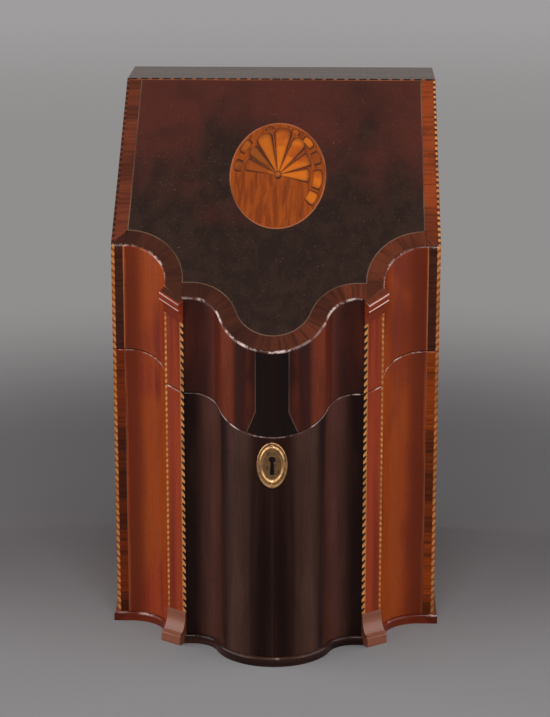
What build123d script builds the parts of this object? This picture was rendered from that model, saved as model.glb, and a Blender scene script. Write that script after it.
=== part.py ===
"""Antique knife box: a bowed, veneered case with a sloping hinged lid, canted pilasters, a pierced rack
inside, a box lock and an inlaid shell. Millimetres, +Z up, front towards -Y, origin under the middle."""

import os
from math import atan2, cos, degrees, hypot, radians, sin, tan

from build123d import *

os.makedirs("parts", exist_ok=True)

# ---------------------------------------------------------------- driving dimensions
# Case as a whole
box_width = 229.0
box_height = 373.0
side_depth = 208.0  # from the front side corners to the back face
flat_top_depth = 62.0  # the level strip at the back of the lid
lid_slope_angle = 33.0
lid_front_depth = 75.2  # the lid's height at the front side corners
parting_angle = 24.7
lid_gap = 0.5  # between the case's sawn edge and the lid's

# Boards
base_thickness = 6.5
side_thickness = 10.0
back_thickness = 11.0
front_thickness = 11.0
lid_board_thickness = 8.0

# Front, in plan: coved wings, canted pilasters and a bowed bay
pilaster_outer_x = 75.4
pilaster_step = 4.0  # the pilaster's outer corner stands forward of the cove's end
pilaster_width = 16.7
pilaster_cant = 35.7
bay_setback = 0.9  # the bay starts behind the pilaster's inner corner
bay_flat_end = 4.7  # straight run of the bay beside the pilaster
bay_projection = 83.0  # the bow's crown forward of the side corners
bow_radius = 39.2

# Stringing let into the arrises
corner_string = 2.4
pilaster_thin_string = 2.0
pilaster_rope_string = 3.3
pilaster_string_depth = 2.2

# Dark inlay in the lid's bay, a plain strip that splays at its foot
keystone_width = 23.0
keystone_foot_width = 35.0
keystone_splay = 17.0
keystone_thickness = 1.0

# Base moulding, pilaster feet and capitals
moulding_height = 6.5
moulding_projection = 2.4
moulding_bevel = 1.6
foot_projection = 7.5
foot_block_height = 6.2
foot_step = 1.0
foot_height = 23.0
foot_lip = 0.8
capital_projection = 5.2
capital_band = 3.0
capital_quirk = 0.8
capital_bead = 1.8
capital_height = 17.0
capital_lip = 0.8

# Inlaid shell on the lid
shell_width = 69.0
shell_length = 109.0
shell_thickness = 1.2
shell_from_corner = 59.6  # centre, back from the front side corners

# Rack and its ledges
rack_drop = 14.0  # under the case's sawn edge, square to it
rack_thickness = 7.0
rack_clearance = 0.3
knife_slot_width = 10.0
knife_slot_length = 26.0
knife_slots_per_row = 6
knife_slot_spacing = 31.0
knife_rows = 3
knife_row_spacing = 52.0
first_row_from_corner = 44.0
spoon_slot_width = 14.0
spoon_slot_length = 11.0
spoon_slots = 3
spoon_slot_spacing = 25.0
spoon_row_from_corner = -14.0
ledge_width = 8.0
ledge_height = 12.0

# Lock
lock_centre_from_crown = 19.5  # bolt's middle plane behind the bow's crown
lock_plate = 1.2
lock_width = 40.0
lock_height = 37.0
lock_room_front = 6.0  # inside the case, before and behind the bolt's middle plane
lock_room_back = 5.6
selvedge_thickness = 1.5
selvedge_overhang = 5.0
block_margin = 6.0
block_floor = 3.0  # wood under the lock
block_behind_lock = 0.6
lock_fit = 0.1
keyhole_below_edge = 15.2  # under the case's sawn edge at the bow's crown
keyhole_radius = 1.9
keyhole_slot_width = 1.8
keyhole_slot_drop = 11.6
key_pin_radius = 0.9

# Bolt and the lid's loops
bolt_throw = 5.0
bolt_thickness = 1.8
bolt_arm_height = 2.4
bolt_arm_length = 7.0
bolt_post_width = 2.2
bolt_bar_height = 6.0
bolt_bar_gap = 1.2  # bar's top under the loops
bolt_bar_end = 1.6
talon_width = 6.0
talon_depth = 2.5
bolt_clearance = 0.6  # arms' tips clear of the loops when drawn back
bolt_running_gap = 0.15
stump_radius = 1.2
stump_centre_x = -10.5
stump_spacing = 4.5
loop_spacing = 16.0
loop_thickness = 1.6
loop_depth = 5.2  # hole's centre under the lid's sawn edge, square to it
loop_hole_size = 5.6
loop_wall = 1.2
loop_slot_gap = 0.5
link_plate_width = 46.0
link_plate_thickness = 1.5
loop_block_height = 14.0

# Escutcheon
escutcheon_width = 20.3
escutcheon_height = 32.3
escutcheon_below_keyhole = 4.1
escutcheon_field = 0.8
escutcheon_rim = 1.8
escutcheon_rim_width = 2.6

# Hinges
hinge_length = 38.0
hinge_from_side = 52.5
hinge_leaf_thickness = 1.5
hinge_leaf_width = 7.6
knuckle_radius = 2.3
knuckle_count = 5
knuckle_end_gap = 0.15
knuckle_side_gap = 0.2
pin_radius = 0.9
pin_fit = 0.05
hinge_inset = 0.1  # barrel's back inside the back face
mortise_fit = 0.1
barrel_room = 0.3
lid_opening = 100.0
arris_clearance = 2.0  # degrees left between the bevelled back arrises at full opening
case_arris_bevel = 45.0

# ---------------------------------------------------------------- what follows from them
half_width = box_width / 2
front_y = (bay_projection + moulding_projection - side_depth) / 2
back_y = front_y + side_depth
back_inner_y = back_y - back_thickness
slope_end_y = back_y - flat_top_depth
inner_x = half_width - side_thickness

cove_radius = inner_x - pilaster_outer_x
cove_centre = (inner_x, front_y - cove_radius)
along_face = (-cos(radians(pilaster_cant)), -sin(radians(pilaster_cant)))
out_of_face = (sin(radians(pilaster_cant)), -cos(radians(pilaster_cant)))
outer_corner = (pilaster_outer_x, front_y - cove_radius - pilaster_step)
inner_corner = (
    outer_corner[0] + pilaster_width * along_face[0],
    outer_corner[1] + pilaster_width * along_face[1],
)

bay_end_x = inner_corner[0]
bay_end_y = inner_corner[1] + bay_setback
flank_x = bay_end_x - bay_flat_end
crown_y = front_y - bay_projection
bow_centre_y = crown_y + bow_radius
bow_rise = bay_end_y - bow_centre_y
flank_radius = (flank_x**2 + bow_rise**2 - bow_radius**2) / (2 * (bow_radius + bow_rise))
flank_centre_y = bay_end_y - flank_radius
join_angle = atan2(flank_centre_y - bow_centre_y, flank_x)

slope_rise = tan(radians(lid_slope_angle))
parting_rise = tan(radians(parting_angle))
lid_corner_height = box_height - (slope_end_y - front_y) * slope_rise
parting_corner_height = lid_corner_height - lid_front_depth


def tilted_plane(height, angle):
    """Plane that rises to the back by an angle and has this height at the front side corners."""
    normal = (0, -sin(radians(angle)), cos(radians(angle)))
    return Plane(origin=(0, front_y, height), x_dir=(1, 0, 0), z_dir=normal)


parting = tilted_plane(parting_corner_height, parting_angle)
lid_parting = parting.offset(lid_gap)
lid_slope = tilted_plane(lid_corner_height, lid_slope_angle)
lid_slope_underside = lid_slope.offset(-lid_board_thickness)
flat_top_underside = box_height - lid_board_thickness


def parting_height(y):
    """Height of the case's sawn edge at a distance from front to back."""
    return parting_corner_height + (y - front_y) * parting_rise


def lid_parting_height(y):
    """Height of the lid's sawn edge."""
    return parting_height(y) + lid_gap / cos(radians(parting_angle))


def underside_height(y):
    """Height of the sloping board's underside."""
    drop = lid_board_thickness / cos(radians(lid_slope_angle))
    return lid_corner_height + (y - front_y) * slope_rise - drop


# ---------------------------------------------------------------- plan profiles
def bay_curve(inward=0.0, reach=0.0):
    """Draw the bay's line: a convex bow between two concave flanks, inward of the show face."""
    bow = bow_radius - inward
    flank = flank_radius + inward
    end_y = bay_end_y + inward
    join = (bow * cos(join_angle), bow_centre_y + bow * sin(join_angle))
    turn = radians(135) + join_angle / 2
    waist = (flank_x + flank * cos(turn), flank_centre_y + flank * sin(turn))
    for side in (-1, 1):
        Line((side * (bay_end_x + reach), end_y), (side * flank_x, end_y))
        ThreePointArc((side * flank_x, end_y), (side * waist[0], waist[1]), (side * join[0], join[1]))
    ThreePointArc((-join[0], join[1]), (0, bow_centre_y - bow), join)


def bay_band(height, outer, inner, reach=0.0):
    """Plan of the bay between two offsets of its show face."""
    with BuildSketch(Plane.XY.offset(height)) as plan:
        with BuildLine():
            bay_curve(outer, reach)
            bay_curve(inner, reach)
            for side in (-1, 1):
                end_x = side * (bay_end_x + reach)
                Line((end_x, bay_end_y + outer), (end_x, bay_end_y + inner))
        make_face()
    return plan.sketch


def cove_arc(radius):
    """Draw the right wing's cove, concave to the front, from the side to the pilaster."""
    centre_x, centre_y = cove_centre
    middle = radius * cos(radians(45))
    ThreePointArc(
        (centre_x, centre_y + radius),
        (centre_x - middle, centre_y + middle),
        (centre_x - radius, centre_y),
    )


def wing_band(height, outer, inner):
    """Plan of the right wing between two offsets of its cove."""
    centre_x, centre_y = cove_centre
    with BuildSketch(Plane.XY.offset(height)) as plan:
        with BuildLine():
            cove_arc(cove_radius + outer)
            cove_arc(cove_radius + inner)
            Line((centre_x, centre_y + cove_radius + outer), (centre_x, centre_y + cove_radius + inner))
            Line((centre_x - cove_radius - outer, centre_y), (centre_x - cove_radius - inner, centre_y))
        make_face()
    return plan.sketch


def pilaster_plan(height):
    """Plan of the right pilaster: a canted face on a post behind it."""
    with BuildSketch(Plane.XY.offset(height)) as plan:
        with BuildLine():
            Polyline(
                outer_corner,
                inner_corner,
                (bay_end_x, cove_centre[1]),
                (pilaster_outer_x, cove_centre[1]),
                close=True,
            )
        make_face()
    return plan.sketch


def pilaster_string_plan(height, start, end):
    """Plan of a string let into the right pilaster's face, from start to end along it."""
    face = Plane(origin=(*outer_corner, height), x_dir=(*along_face, 0), z_dir=(0, 0, 1))
    with BuildSketch(face) as plan:
        with Locations(((start + end) / 2, 0)):
            Rectangle(end - start, 2 * pilaster_string_depth)
    return plan.sketch


def corner_string_plan(height):
    """Plan of the string let into the right front corner."""
    with BuildSketch(Plane.XY.offset(height)) as plan:
        with Locations((half_width - corner_string / 2, front_y + corner_string / 2)):
            Rectangle(corner_string, corner_string)
    return plan.sketch


def outline_plan(height, rear_y):
    """Plan of the whole box in front of a line across it."""
    with BuildSketch(Plane.XY.offset(height)) as plan:
        with BuildLine():
            bay_curve()
            for side in (-1, 1):
                Polyline(
                    (side * bay_end_x, bay_end_y),
                    (side * inner_corner[0], inner_corner[1]),
                    (side * outer_corner[0], outer_corner[1]),
                    (side * pilaster_outer_x, cove_centre[1]),
                )
                middle = cove_radius * cos(radians(45))
                ThreePointArc(
                    (side * pilaster_outer_x, cove_centre[1]),
                    (side * (inner_x - middle), cove_centre[1] + middle),
                    (side * inner_x, front_y),
                )
                Polyline((side * inner_x, front_y), (side * half_width, front_y), (side * half_width, rear_y))
            Line((-half_width, rear_y), (half_width, rear_y))
        make_face()
    return plan.sketch


def cross_profile(points):
    """Closed outline seen from the side, as (y, z) points, on the middle plane facing +X."""
    with BuildSketch(Plane.YZ) as profile:
        with BuildLine():
            Polyline(*points, close=True)
        make_face()
    return profile.sketch


# ---------------------------------------------------------------- writing the pieces
def save(piece, name):
    """Name a piece and write it."""
    piece.part.label = name
    export_step(piece.part, f"parts/{name}.step")


def save_pair(piece, name):
    """Write a right-hand piece and its mirror image on the left."""
    save(piece, f"{name}_right")
    with BuildPart() as twin:
        mirror(piece.part, about=Plane.YZ)
    save(twin, f"{name}_left")


# ---------------------------------------------------------------- lock and hinge places
bolt_y = crown_y + lock_centre_from_crown
lock_front_y = bolt_y - lock_room_front - lock_plate
lock_back_y = bolt_y + lock_room_back + lock_plate
block_back_y = lock_back_y + block_behind_lock
block_half_width = lock_width / 2 + block_margin

hinge_y = back_y - hinge_inset - knuckle_radius
hinge_z = parting_height(hinge_y) + lid_gap / 2 / cos(radians(parting_angle))
hinge_slope = Plane(
    origin=(0, hinge_y, hinge_z),
    x_dir=(1, 0, 0),
    z_dir=(0, -sin(radians(parting_angle)), cos(radians(parting_angle))),
)
hinge_places = [hinge_from_side - half_width, half_width - hinge_from_side]


def hinge_cylinder(centre_x, length, radius, mode=Mode.ADD):
    """Cylinder on the hinge line."""
    with BuildSketch(Plane.YZ.offset(centre_x - length / 2)) as end:
        with Locations((hinge_y, hinge_z)):
            Circle(radius)
    extrude(end.sketch, amount=length, mode=mode)


def hinge_mortise(level, side):
    """Cut the room for the leaves and barrels out of a back board's sawn edge."""
    for middle in hinge_places:
        with BuildSketch(hinge_slope.offset(level)) as leaf:
            with Locations((middle, -(hinge_leaf_width + mortise_fit) / 2)):
                Rectangle(hinge_length + 2 * mortise_fit, hinge_leaf_width + mortise_fit)
        extrude(leaf.sketch, amount=side * (hinge_leaf_thickness + mortise_fit), mode=Mode.SUBTRACT)
        hinge_cylinder(
            middle, hinge_length + 2 * mortise_fit, knuckle_radius + barrel_room, mode=Mode.SUBTRACT
        )


def hinge_leaf(middle, level, side, first):
    """One leaf: a let-in plate that carries every other knuckle, from the first."""
    pitch = hinge_length / knuckle_count
    knuckles = [middle - hinge_length / 2 + pitch * (place + 0.5) for place in range(knuckle_count)]
    with BuildPart() as leaf:
        with BuildSketch(hinge_slope.offset(level)) as plate:
            with Locations((middle, -hinge_leaf_width / 2)):
                Rectangle(hinge_length, hinge_leaf_width)
            for centre_x in knuckles[1 - first :: 2]:
                with Locations((centre_x, 0)):
                    room = 2 * (knuckle_radius + knuckle_side_gap)
                    Rectangle(pitch + knuckle_end_gap, room, mode=Mode.SUBTRACT)
        extrude(plate.sketch, amount=side * hinge_leaf_thickness)
        for centre_x in knuckles[first::2]:
            hinge_cylinder(centre_x, pitch - knuckle_end_gap, knuckle_radius)
        hinge_cylinder(middle, 2 * hinge_length, pin_radius + pin_fit, mode=Mode.SUBTRACT)
    return leaf


def back_arris(angle):
    """Wedge behind the hinge line, from straight down or up round to a bevel's angle."""
    reach = 4 * (back_y - hinge_y)
    side = 1 if angle > 0 else -1
    bevel = (hinge_y + reach, hinge_z + reach * tan(radians(angle)))
    return cross_profile([(hinge_y, hinge_z), bevel, (hinge_y + reach, hinge_z - side * reach)])


# ---------------------------------------------------------------- case
with BuildPart() as base_board:
    extrude(outline_plan(0, back_y), amount=base_thickness)
save(base_board, "base_board")

with BuildPart() as carcase_side:
    side_profile = cross_profile(
        [
            (front_y, base_thickness),
            (back_inner_y, base_thickness),
            (back_inner_y, parting_height(back_inner_y)),
            (front_y, parting_height(front_y)),
        ]
    )
    extrude(side_profile.moved(Location((inner_x, 0, 0))), amount=side_thickness)
    extrude(corner_string_plan(0), amount=box_height, mode=Mode.SUBTRACT)
save_pair(carcase_side, "carcase_side")

with BuildPart() as carcase_back:
    back_profile = cross_profile(
        [
            (back_inner_y, base_thickness),
            (back_y, base_thickness),
            (back_y, parting_height(back_y)),
            (back_inner_y, parting_height(back_inner_y)),
        ]
    )
    extrude(back_profile, amount=half_width, both=True)
    extrude(back_arris(-case_arris_bevel), amount=half_width, both=True, mode=Mode.SUBTRACT)
    hinge_mortise(-lid_gap / 2, -1)
save(carcase_back, "carcase_back")

with BuildPart() as carcase_wing:
    extrude(wing_band(base_thickness, 0, front_thickness), amount=box_height)
    split(bisect_by=parting, keep=Keep.BOTTOM)
save_pair(carcase_wing, "carcase_wing")

with BuildPart() as carcase_pilaster:
    extrude(pilaster_plan(base_thickness), amount=box_height)
    extrude(pilaster_string_plan(0, 0, pilaster_thin_string), amount=box_height, mode=Mode.SUBTRACT)
    rope = pilaster_string_plan(0, pilaster_width - pilaster_rope_string, pilaster_width)
    extrude(rope, amount=box_height, mode=Mode.SUBTRACT)
    split(bisect_by=parting, keep=Keep.BOTTOM)
save_pair(carcase_pilaster, "carcase_pilaster")

for name, start, end in (
    ("thin", 0, pilaster_thin_string),
    ("rope", pilaster_width - pilaster_rope_string, pilaster_width),
):
    with BuildPart() as carcase_string:
        extrude(pilaster_plan(base_thickness), amount=box_height)
        extrude(pilaster_string_plan(0, start, end), amount=box_height, mode=Mode.INTERSECT)
        split(bisect_by=parting, keep=Keep.BOTTOM)
        mirror(about=Plane.YZ)
    save(carcase_string, f"carcase_{name}_stringing")

with BuildPart() as carcase_corner_stringing:
    extrude(corner_string_plan(base_thickness), amount=box_height)
    split(bisect_by=parting, keep=Keep.BOTTOM)
    mirror(about=Plane.YZ)
save(carcase_corner_stringing, "carcase_corner_stringing")


lock_top = parting.offset(-selvedge_thickness)
lock_bottom_z = parting_height(bolt_y) - selvedge_thickness / cos(radians(parting_angle)) - lock_height
keyhole_height = parting_height(crown_y) - keyhole_below_edge
escutcheon_centre_height = keyhole_height - escutcheon_below_keyhole


def keyhole_cut():
    """Cut the keyhole through what stands round it, from the front."""
    with BuildSketch(Plane.XZ.offset(-crown_y + escutcheon_rim)) as hole:
        with Locations((0, keyhole_height)):
            Circle(keyhole_radius)
        with Locations((0, keyhole_height - keyhole_slot_drop / 2)):
            Rectangle(keyhole_slot_width, keyhole_slot_drop)
    extrude(hole.sketch, amount=-(bolt_y - crown_y + escutcheon_rim), mode=Mode.SUBTRACT)


def lock_room(side_fit):
    """Space under the selvedge plate that the lock's case fills."""
    depth = lock_back_y - lock_front_y + 2 * side_fit
    with BuildSketch(Plane.XY.offset(lock_bottom_z - side_fit)) as room:
        with Locations((0, (lock_front_y + lock_back_y) / 2)):
            Rectangle(lock_width + 2 * side_fit, depth)
    return room.sketch


def selvedge_room(fit):
    """Plate along the sawn edge over the lock: its plan on the parting plane."""
    front_edge = (lock_front_y - front_y) / cos(radians(parting_angle))
    back_edge = (block_back_y - front_y) / cos(radians(parting_angle))
    with BuildSketch(parting) as plate:
        with Locations((0, (front_edge + back_edge) / 2)):
            width = lock_width + 2 * selvedge_overhang
            Rectangle(width + 2 * fit, back_edge - front_edge + 2 * fit)
    return plate.sketch


def block_plan(height):
    """Plan of the blocks glued inside the bay behind the lock."""
    with BuildSketch(Plane.XY.offset(height)) as plan:
        with Locations((0, (crown_y + block_back_y) / 2)):
            Rectangle(2 * block_half_width, block_back_y - crown_y)
    return plan.sketch


with BuildPart() as carcase_front_bay:
    extrude(bay_band(base_thickness, 0, front_thickness), amount=box_height)
    split(bisect_by=parting, keep=Keep.BOTTOM)
    extrude(lock_room(lock_fit), amount=box_height, mode=Mode.SUBTRACT)
    extrude(selvedge_room(lock_fit), amount=-selvedge_thickness, mode=Mode.SUBTRACT)
    keyhole_cut()
save(carcase_front_bay, "carcase_front_bay")

with BuildPart() as lock_block:
    extrude(block_plan(lock_bottom_z - block_floor), amount=box_height)
    extrude(bay_band(0, -front_thickness, front_thickness), amount=2 * box_height, mode=Mode.SUBTRACT)
    split(bisect_by=parting, keep=Keep.BOTTOM)
    extrude(lock_room(lock_fit), amount=box_height, mode=Mode.SUBTRACT)
    extrude(selvedge_room(lock_fit), amount=-selvedge_thickness, mode=Mode.SUBTRACT)
    keyhole_cut()
save(lock_block, "lock_block")


# ---------------------------------------------------------------- base moulding and feet
def foot_plan(height):
    """Plan of the right pilaster's foot, square to the canted face."""
    face = Plane(origin=(*outer_corner, height), x_dir=(*along_face, 0), z_dir=(0, 0, 1))
    with BuildSketch(face) as plan:
        with Locations((pilaster_width / 2, foot_projection / 2)):
            Rectangle(pilaster_width, foot_projection)
    return plan.sketch


def bevel_moulding(piece):
    """Bevel a moulding's upper outer arris."""
    top = piece.faces().sort_by(Axis.Z)[-1]
    outer = top.edges().filter_by(lambda edge: edge.distance_to(base_board.part) > moulding_projection / 2)
    chamfer(outer, length=moulding_bevel)


with BuildPart() as base_moulding_bay:
    extrude(bay_band(0, -moulding_projection, 0, reach=moulding_projection), amount=moulding_height)
    for cut in (foot_plan(0), pilaster_plan(0)):
        extrude(cut, amount=moulding_height, mode=Mode.SUBTRACT)
        extrude(cut.mirror(Plane.YZ), amount=moulding_height, mode=Mode.SUBTRACT)
    bevel_moulding(base_moulding_bay)
save(base_moulding_bay, "base_moulding_bay")

with BuildPart() as base_moulding_wing:
    extrude(wing_band(0, -moulding_projection, 0), amount=moulding_height)
    with BuildSketch() as flats:
        with BuildLine():
            Polyline(
                (inner_x, front_y),
                (inner_x, front_y - moulding_projection),
                (half_width + moulding_projection, front_y - moulding_projection),
                (half_width, front_y),
                close=True,
            )
        make_face()
        with Locations((pilaster_outer_x, cove_centre[1])):
            Rectangle(
                moulding_projection, pilaster_step + foot_projection, align=(Align.MIN, Align.MAX)
            )
    extrude(flats.sketch, amount=moulding_height)
    extrude(foot_plan(0), amount=moulding_height, mode=Mode.SUBTRACT)
    bevel_moulding(base_moulding_wing)
save_pair(base_moulding_wing, "base_moulding_wing")

with BuildPart() as base_moulding_side:
    with BuildSketch():
        with BuildLine():
            Polyline(
                (half_width, front_y),
                (half_width + moulding_projection, front_y - moulding_projection),
                (half_width + moulding_projection, back_y),
                (half_width, back_y),
                close=True,
            )
        make_face()
    extrude(amount=moulding_height)
    bevel_moulding(base_moulding_side)
save_pair(base_moulding_side, "base_moulding_side")

with BuildPart() as pilaster_foot:
    with BuildSketch(Plane(origin=(*outer_corner, 0), x_dir=(*out_of_face, 0), z_dir=(*along_face, 0))):
        with BuildLine():
            Polyline(
                (foot_lip, foot_height),
                (0, foot_height),
                (0, 0),
                (foot_projection, 0),
                (foot_projection, foot_block_height),
                (foot_projection - foot_step, foot_block_height + foot_step / 2),
                (foot_projection - foot_step, foot_block_height + 2 * foot_step),
            )
            hollow = (foot_projection + 2 * foot_lip) / 3
            hollow_height = (foot_block_height + 2 * foot_step) + (foot_height - foot_block_height) / 3
            ThreePointArc(
                (foot_projection - foot_step, foot_block_height + 2 * foot_step),
                (hollow, hollow_height),
                (foot_lip, foot_height),
            )
        make_face()
    extrude(amount=pilaster_width)
save_pair(pilaster_foot, "pilaster_foot")

# ---------------------------------------------------------------- rack
rack_top = parting.offset(-rack_drop)
rack_underside = parting.offset(-rack_drop - rack_thickness)


def rack_underside_height(y):
    """Height of the rack's underside."""
    return parting_height(y) - (rack_drop + rack_thickness) / cos(radians(parting_angle))


with BuildPart() as rack_board:
    with BuildSketch():
        with BuildLine():
            bay_curve(front_thickness + rack_clearance, reach=-bay_flat_end / 2)
            wall = cove_radius + front_thickness + rack_clearance
            side_x = inner_x - rack_clearance
            rear_y = back_inner_y - rack_clearance
            flat_y = bay_end_y + front_thickness + rack_clearance
            for side in (-1, 1):
                middle = wall * cos(radians(45))
                Polyline(
                    (side * (bay_end_x - bay_flat_end / 2), flat_y),
                    (side * (bay_end_x - bay_flat_end / 2), cove_centre[1] + rack_clearance),
                    (side * (inner_x - wall), cove_centre[1] + rack_clearance),
                    (side * (inner_x - wall), cove_centre[1]),
                )
                ThreePointArc(
                    (side * (inner_x - wall), cove_centre[1]),
                    (side * (inner_x - middle), cove_centre[1] + middle),
                    (side * inner_x, cove_centre[1] + wall),
                )
                Polyline(
                    (side * inner_x, cove_centre[1] + wall),
                    (side * side_x, cove_centre[1] + wall),
                    (side * side_x, rear_y),
                )
            Line((-side_x, rear_y), (side_x, rear_y))
        make_face()
    extrude(amount=box_height)
    split(bisect_by=rack_top, keep=Keep.BOTTOM)
    split(bisect_by=rack_underside, keep=Keep.TOP)
    with BuildSketch() as block_notch:
        with Locations((0, block_back_y + rack_clearance)):
            notch_width = 2 * (block_half_width + rack_clearance)
            Rectangle(notch_width, bay_projection, align=(Align.CENTER, Align.MAX))
    extrude(block_notch.sketch, amount=box_height, mode=Mode.SUBTRACT)
    with BuildSketch() as slots:
        with Locations((0, front_y + first_row_from_corner + (knife_rows - 1) / 2 * knife_row_spacing)):
            with GridLocations(knife_slot_spacing, knife_row_spacing, knife_slots_per_row, knife_rows):
                Rectangle(knife_slot_width, knife_slot_length)
        with Locations((0, front_y + spoon_row_from_corner)):
            with GridLocations(spoon_slot_spacing, 1, spoon_slots, 1):
                Rectangle(spoon_slot_width, spoon_slot_length)
    extrude(slots.sketch, amount=box_height, mode=Mode.SUBTRACT)
save(rack_board, "rack_board")

with BuildPart() as rack_ledge_side:
    ledge_front_y = front_y + front_thickness
    ledge_profile = cross_profile(
        [
            (ledge_front_y, rack_underside_height(ledge_front_y)),
            (back_inner_y, rack_underside_height(back_inner_y)),
            (back_inner_y, rack_underside_height(back_inner_y) - ledge_height),
            (ledge_front_y, rack_underside_height(ledge_front_y) - ledge_height),
        ]
    )
    extrude(ledge_profile.moved(Location((inner_x - ledge_width, 0, 0))), amount=ledge_width)
save_pair(rack_ledge_side, "rack_ledge")

with BuildPart() as rack_ledge_back:
    ledge_y = back_inner_y - ledge_width
    back_ledge_profile = cross_profile(
        [
            (ledge_y, rack_underside_height(ledge_y)),
            (back_inner_y, rack_underside_height(back_inner_y)),
            (back_inner_y, rack_underside_height(ledge_y) - ledge_height),
            (ledge_y, rack_underside_height(ledge_y) - ledge_height),
        ]
    )
    extrude(back_ledge_profile, amount=inner_x - ledge_width, both=True)
save(rack_ledge_back, "rack_ledge_back")

# ---------------------------------------------------------------- lock
loop_hole = Vector(0, bolt_y, lid_parting_height(bolt_y) - loop_depth / cos(radians(parting_angle)))
loop_places = [-loop_spacing / 2, loop_spacing / 2]
loop_reach = loop_hole_size / 2 + loop_wall
loop_foot = loop_reach * (cos(radians(parting_angle)) + sin(radians(parting_angle)))
bar_top = loop_hole.Z - loop_foot - bolt_bar_gap
bar_bottom = bar_top - bolt_bar_height
arm_tips = [place - loop_thickness / 2 - bolt_clearance for place in loop_places]
post_starts = [tip - bolt_arm_length for tip in arm_tips]
bar_left = post_starts[0] - bolt_bar_end
bar_right = post_starts[-1] + bolt_post_width + bolt_bar_end

with BuildPart() as lock_case:
    extrude(lock_room(0), amount=box_height)
    with BuildSketch(Plane.XY.offset(lock_bottom_z + lock_plate)) as inside:
        with Locations((0, (lock_front_y + lock_back_y) / 2)):
            Rectangle(lock_width - 2 * lock_plate, lock_back_y - lock_front_y - 2 * lock_plate)
    extrude(inside.sketch, amount=box_height, mode=Mode.SUBTRACT)
    split(bisect_by=lock_top, keep=Keep.BOTTOM)
    with BuildSketch(Plane.XZ.offset(-lock_front_y - lock_plate / 2)) as stumps:
        with Locations((stump_centre_x, bar_bottom - bolt_running_gap - stump_radius)):
            with GridLocations(stump_spacing, 1, 2, 1):
                Circle(stump_radius)
    extrude(stumps.sketch, amount=-(lock_back_y - lock_front_y - lock_plate))
    keyhole_cut()
save(lock_case, "lock_case")

with BuildPart() as lock_key_pin:
    with BuildSketch(Plane.XZ.offset(-lock_front_y)) as pin_end:
        with Locations((0, keyhole_height)):
            Circle(key_pin_radius)
    extrude(pin_end.sketch, amount=-(lock_back_y - lock_plate - lock_front_y))
save(lock_key_pin, "lock_key_pin")

with BuildPart() as lock_selvedge:
    extrude(selvedge_room(0), amount=-selvedge_thickness)
    with BuildSketch(parting) as loop_slots:
        with Locations((0, parting.to_local_coords(loop_hole).Y)):
            with GridLocations(loop_spacing, 1, 2, 1):
                Rectangle(loop_thickness + 2 * loop_slot_gap, 2 * (loop_reach + loop_slot_gap))
    extrude(loop_slots.sketch, amount=-2 * selvedge_thickness, both=True, mode=Mode.SUBTRACT)
save(lock_selvedge, "lock_selvedge")

with BuildPart() as lock_bolt:
    with BuildSketch(Plane.XZ.offset(-bolt_y)):
        with Locations(((bar_left + bar_right) / 2, (bar_top + bar_bottom) / 2)):
            Rectangle(bar_right - bar_left, bolt_bar_height)
        for tip, start in zip(arm_tips, post_starts):
            with Locations((start, bar_top)):
                post_height = loop_hole.Z + bolt_arm_height / 2 - bar_top
                Rectangle(bolt_post_width, post_height, align=(Align.MIN, Align.MIN))
            with Locations((start, loop_hole.Z)):
                Rectangle(tip - start, bolt_arm_height, align=(Align.MIN, Align.CENTER))
        with Locations((0, bar_bottom)):
            Rectangle(talon_width, 2 * talon_depth, mode=Mode.SUBTRACT)
    extrude(amount=bolt_thickness / 2, both=True)
save(lock_bolt, "lock_bolt")

with BuildPart() as escutcheon_sinking:
    sinking_base = escutcheon_centre_height - escutcheon_height
    extrude(bay_band(sinking_base, -2 * escutcheon_rim, -escutcheon_field), amount=2 * escutcheon_height)
    with BuildSketch(Plane.XZ.offset(-bow_centre_y)) as inner_oval:
        with Locations((0, escutcheon_centre_height)):
            Ellipse(
                escutcheon_width / 2 - escutcheon_rim_width, escutcheon_height / 2 - escutcheon_rim_width
            )
    extrude(inner_oval.sketch, amount=2 * bow_radius, mode=Mode.INTERSECT)

with BuildPart() as escutcheon:
    extrude(bay_band(sinking_base, -escutcheon_rim, 0), amount=2 * escutcheon_height)
    with BuildSketch(Plane.XZ.offset(-bow_centre_y)) as outer_oval:
        with Locations((0, escutcheon_centre_height)):
            Ellipse(escutcheon_width / 2, escutcheon_height / 2)
    extrude(outer_oval.sketch, amount=2 * bow_radius, mode=Mode.INTERSECT)
    add(escutcheon_sinking.part, mode=Mode.SUBTRACT)
    keyhole_cut()
save(escutcheon, "escutcheon")

# ---------------------------------------------------------------- hinges
for middle, name in zip(hinge_places, ("left", "right")):
    hinge_leaf_lower = hinge_leaf(middle, -lid_gap / 2, -1, first=0)
    save(hinge_leaf_lower, f"hinge_leaf_lower_{name}")
    hinge_leaf_upper = hinge_leaf(middle, lid_gap / 2, 1, first=1)
    save(hinge_leaf_upper, f"hinge_leaf_upper_{name}")

with BuildPart() as hinge_pins:
    for middle in hinge_places:
        hinge_cylinder(middle, hinge_length, pin_radius)
save(hinge_pins, "hinge_pins")

# ---------------------------------------------------------------- lid
with BuildPart() as lid_side:
    lid_side_profile = cross_profile(
        [
            (front_y, lid_parting_height(front_y)),
            (back_inner_y, lid_parting_height(back_inner_y)),
            (back_inner_y, flat_top_underside),
            (slope_end_y, flat_top_underside),
            (slope_end_y, underside_height(slope_end_y)),
            (front_y, underside_height(front_y)),
        ]
    )
    extrude(lid_side_profile.moved(Location((inner_x, 0, 0))), amount=side_thickness)
    extrude(corner_string_plan(0), amount=box_height, mode=Mode.SUBTRACT)
save_pair(lid_side, "lid_side")

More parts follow.
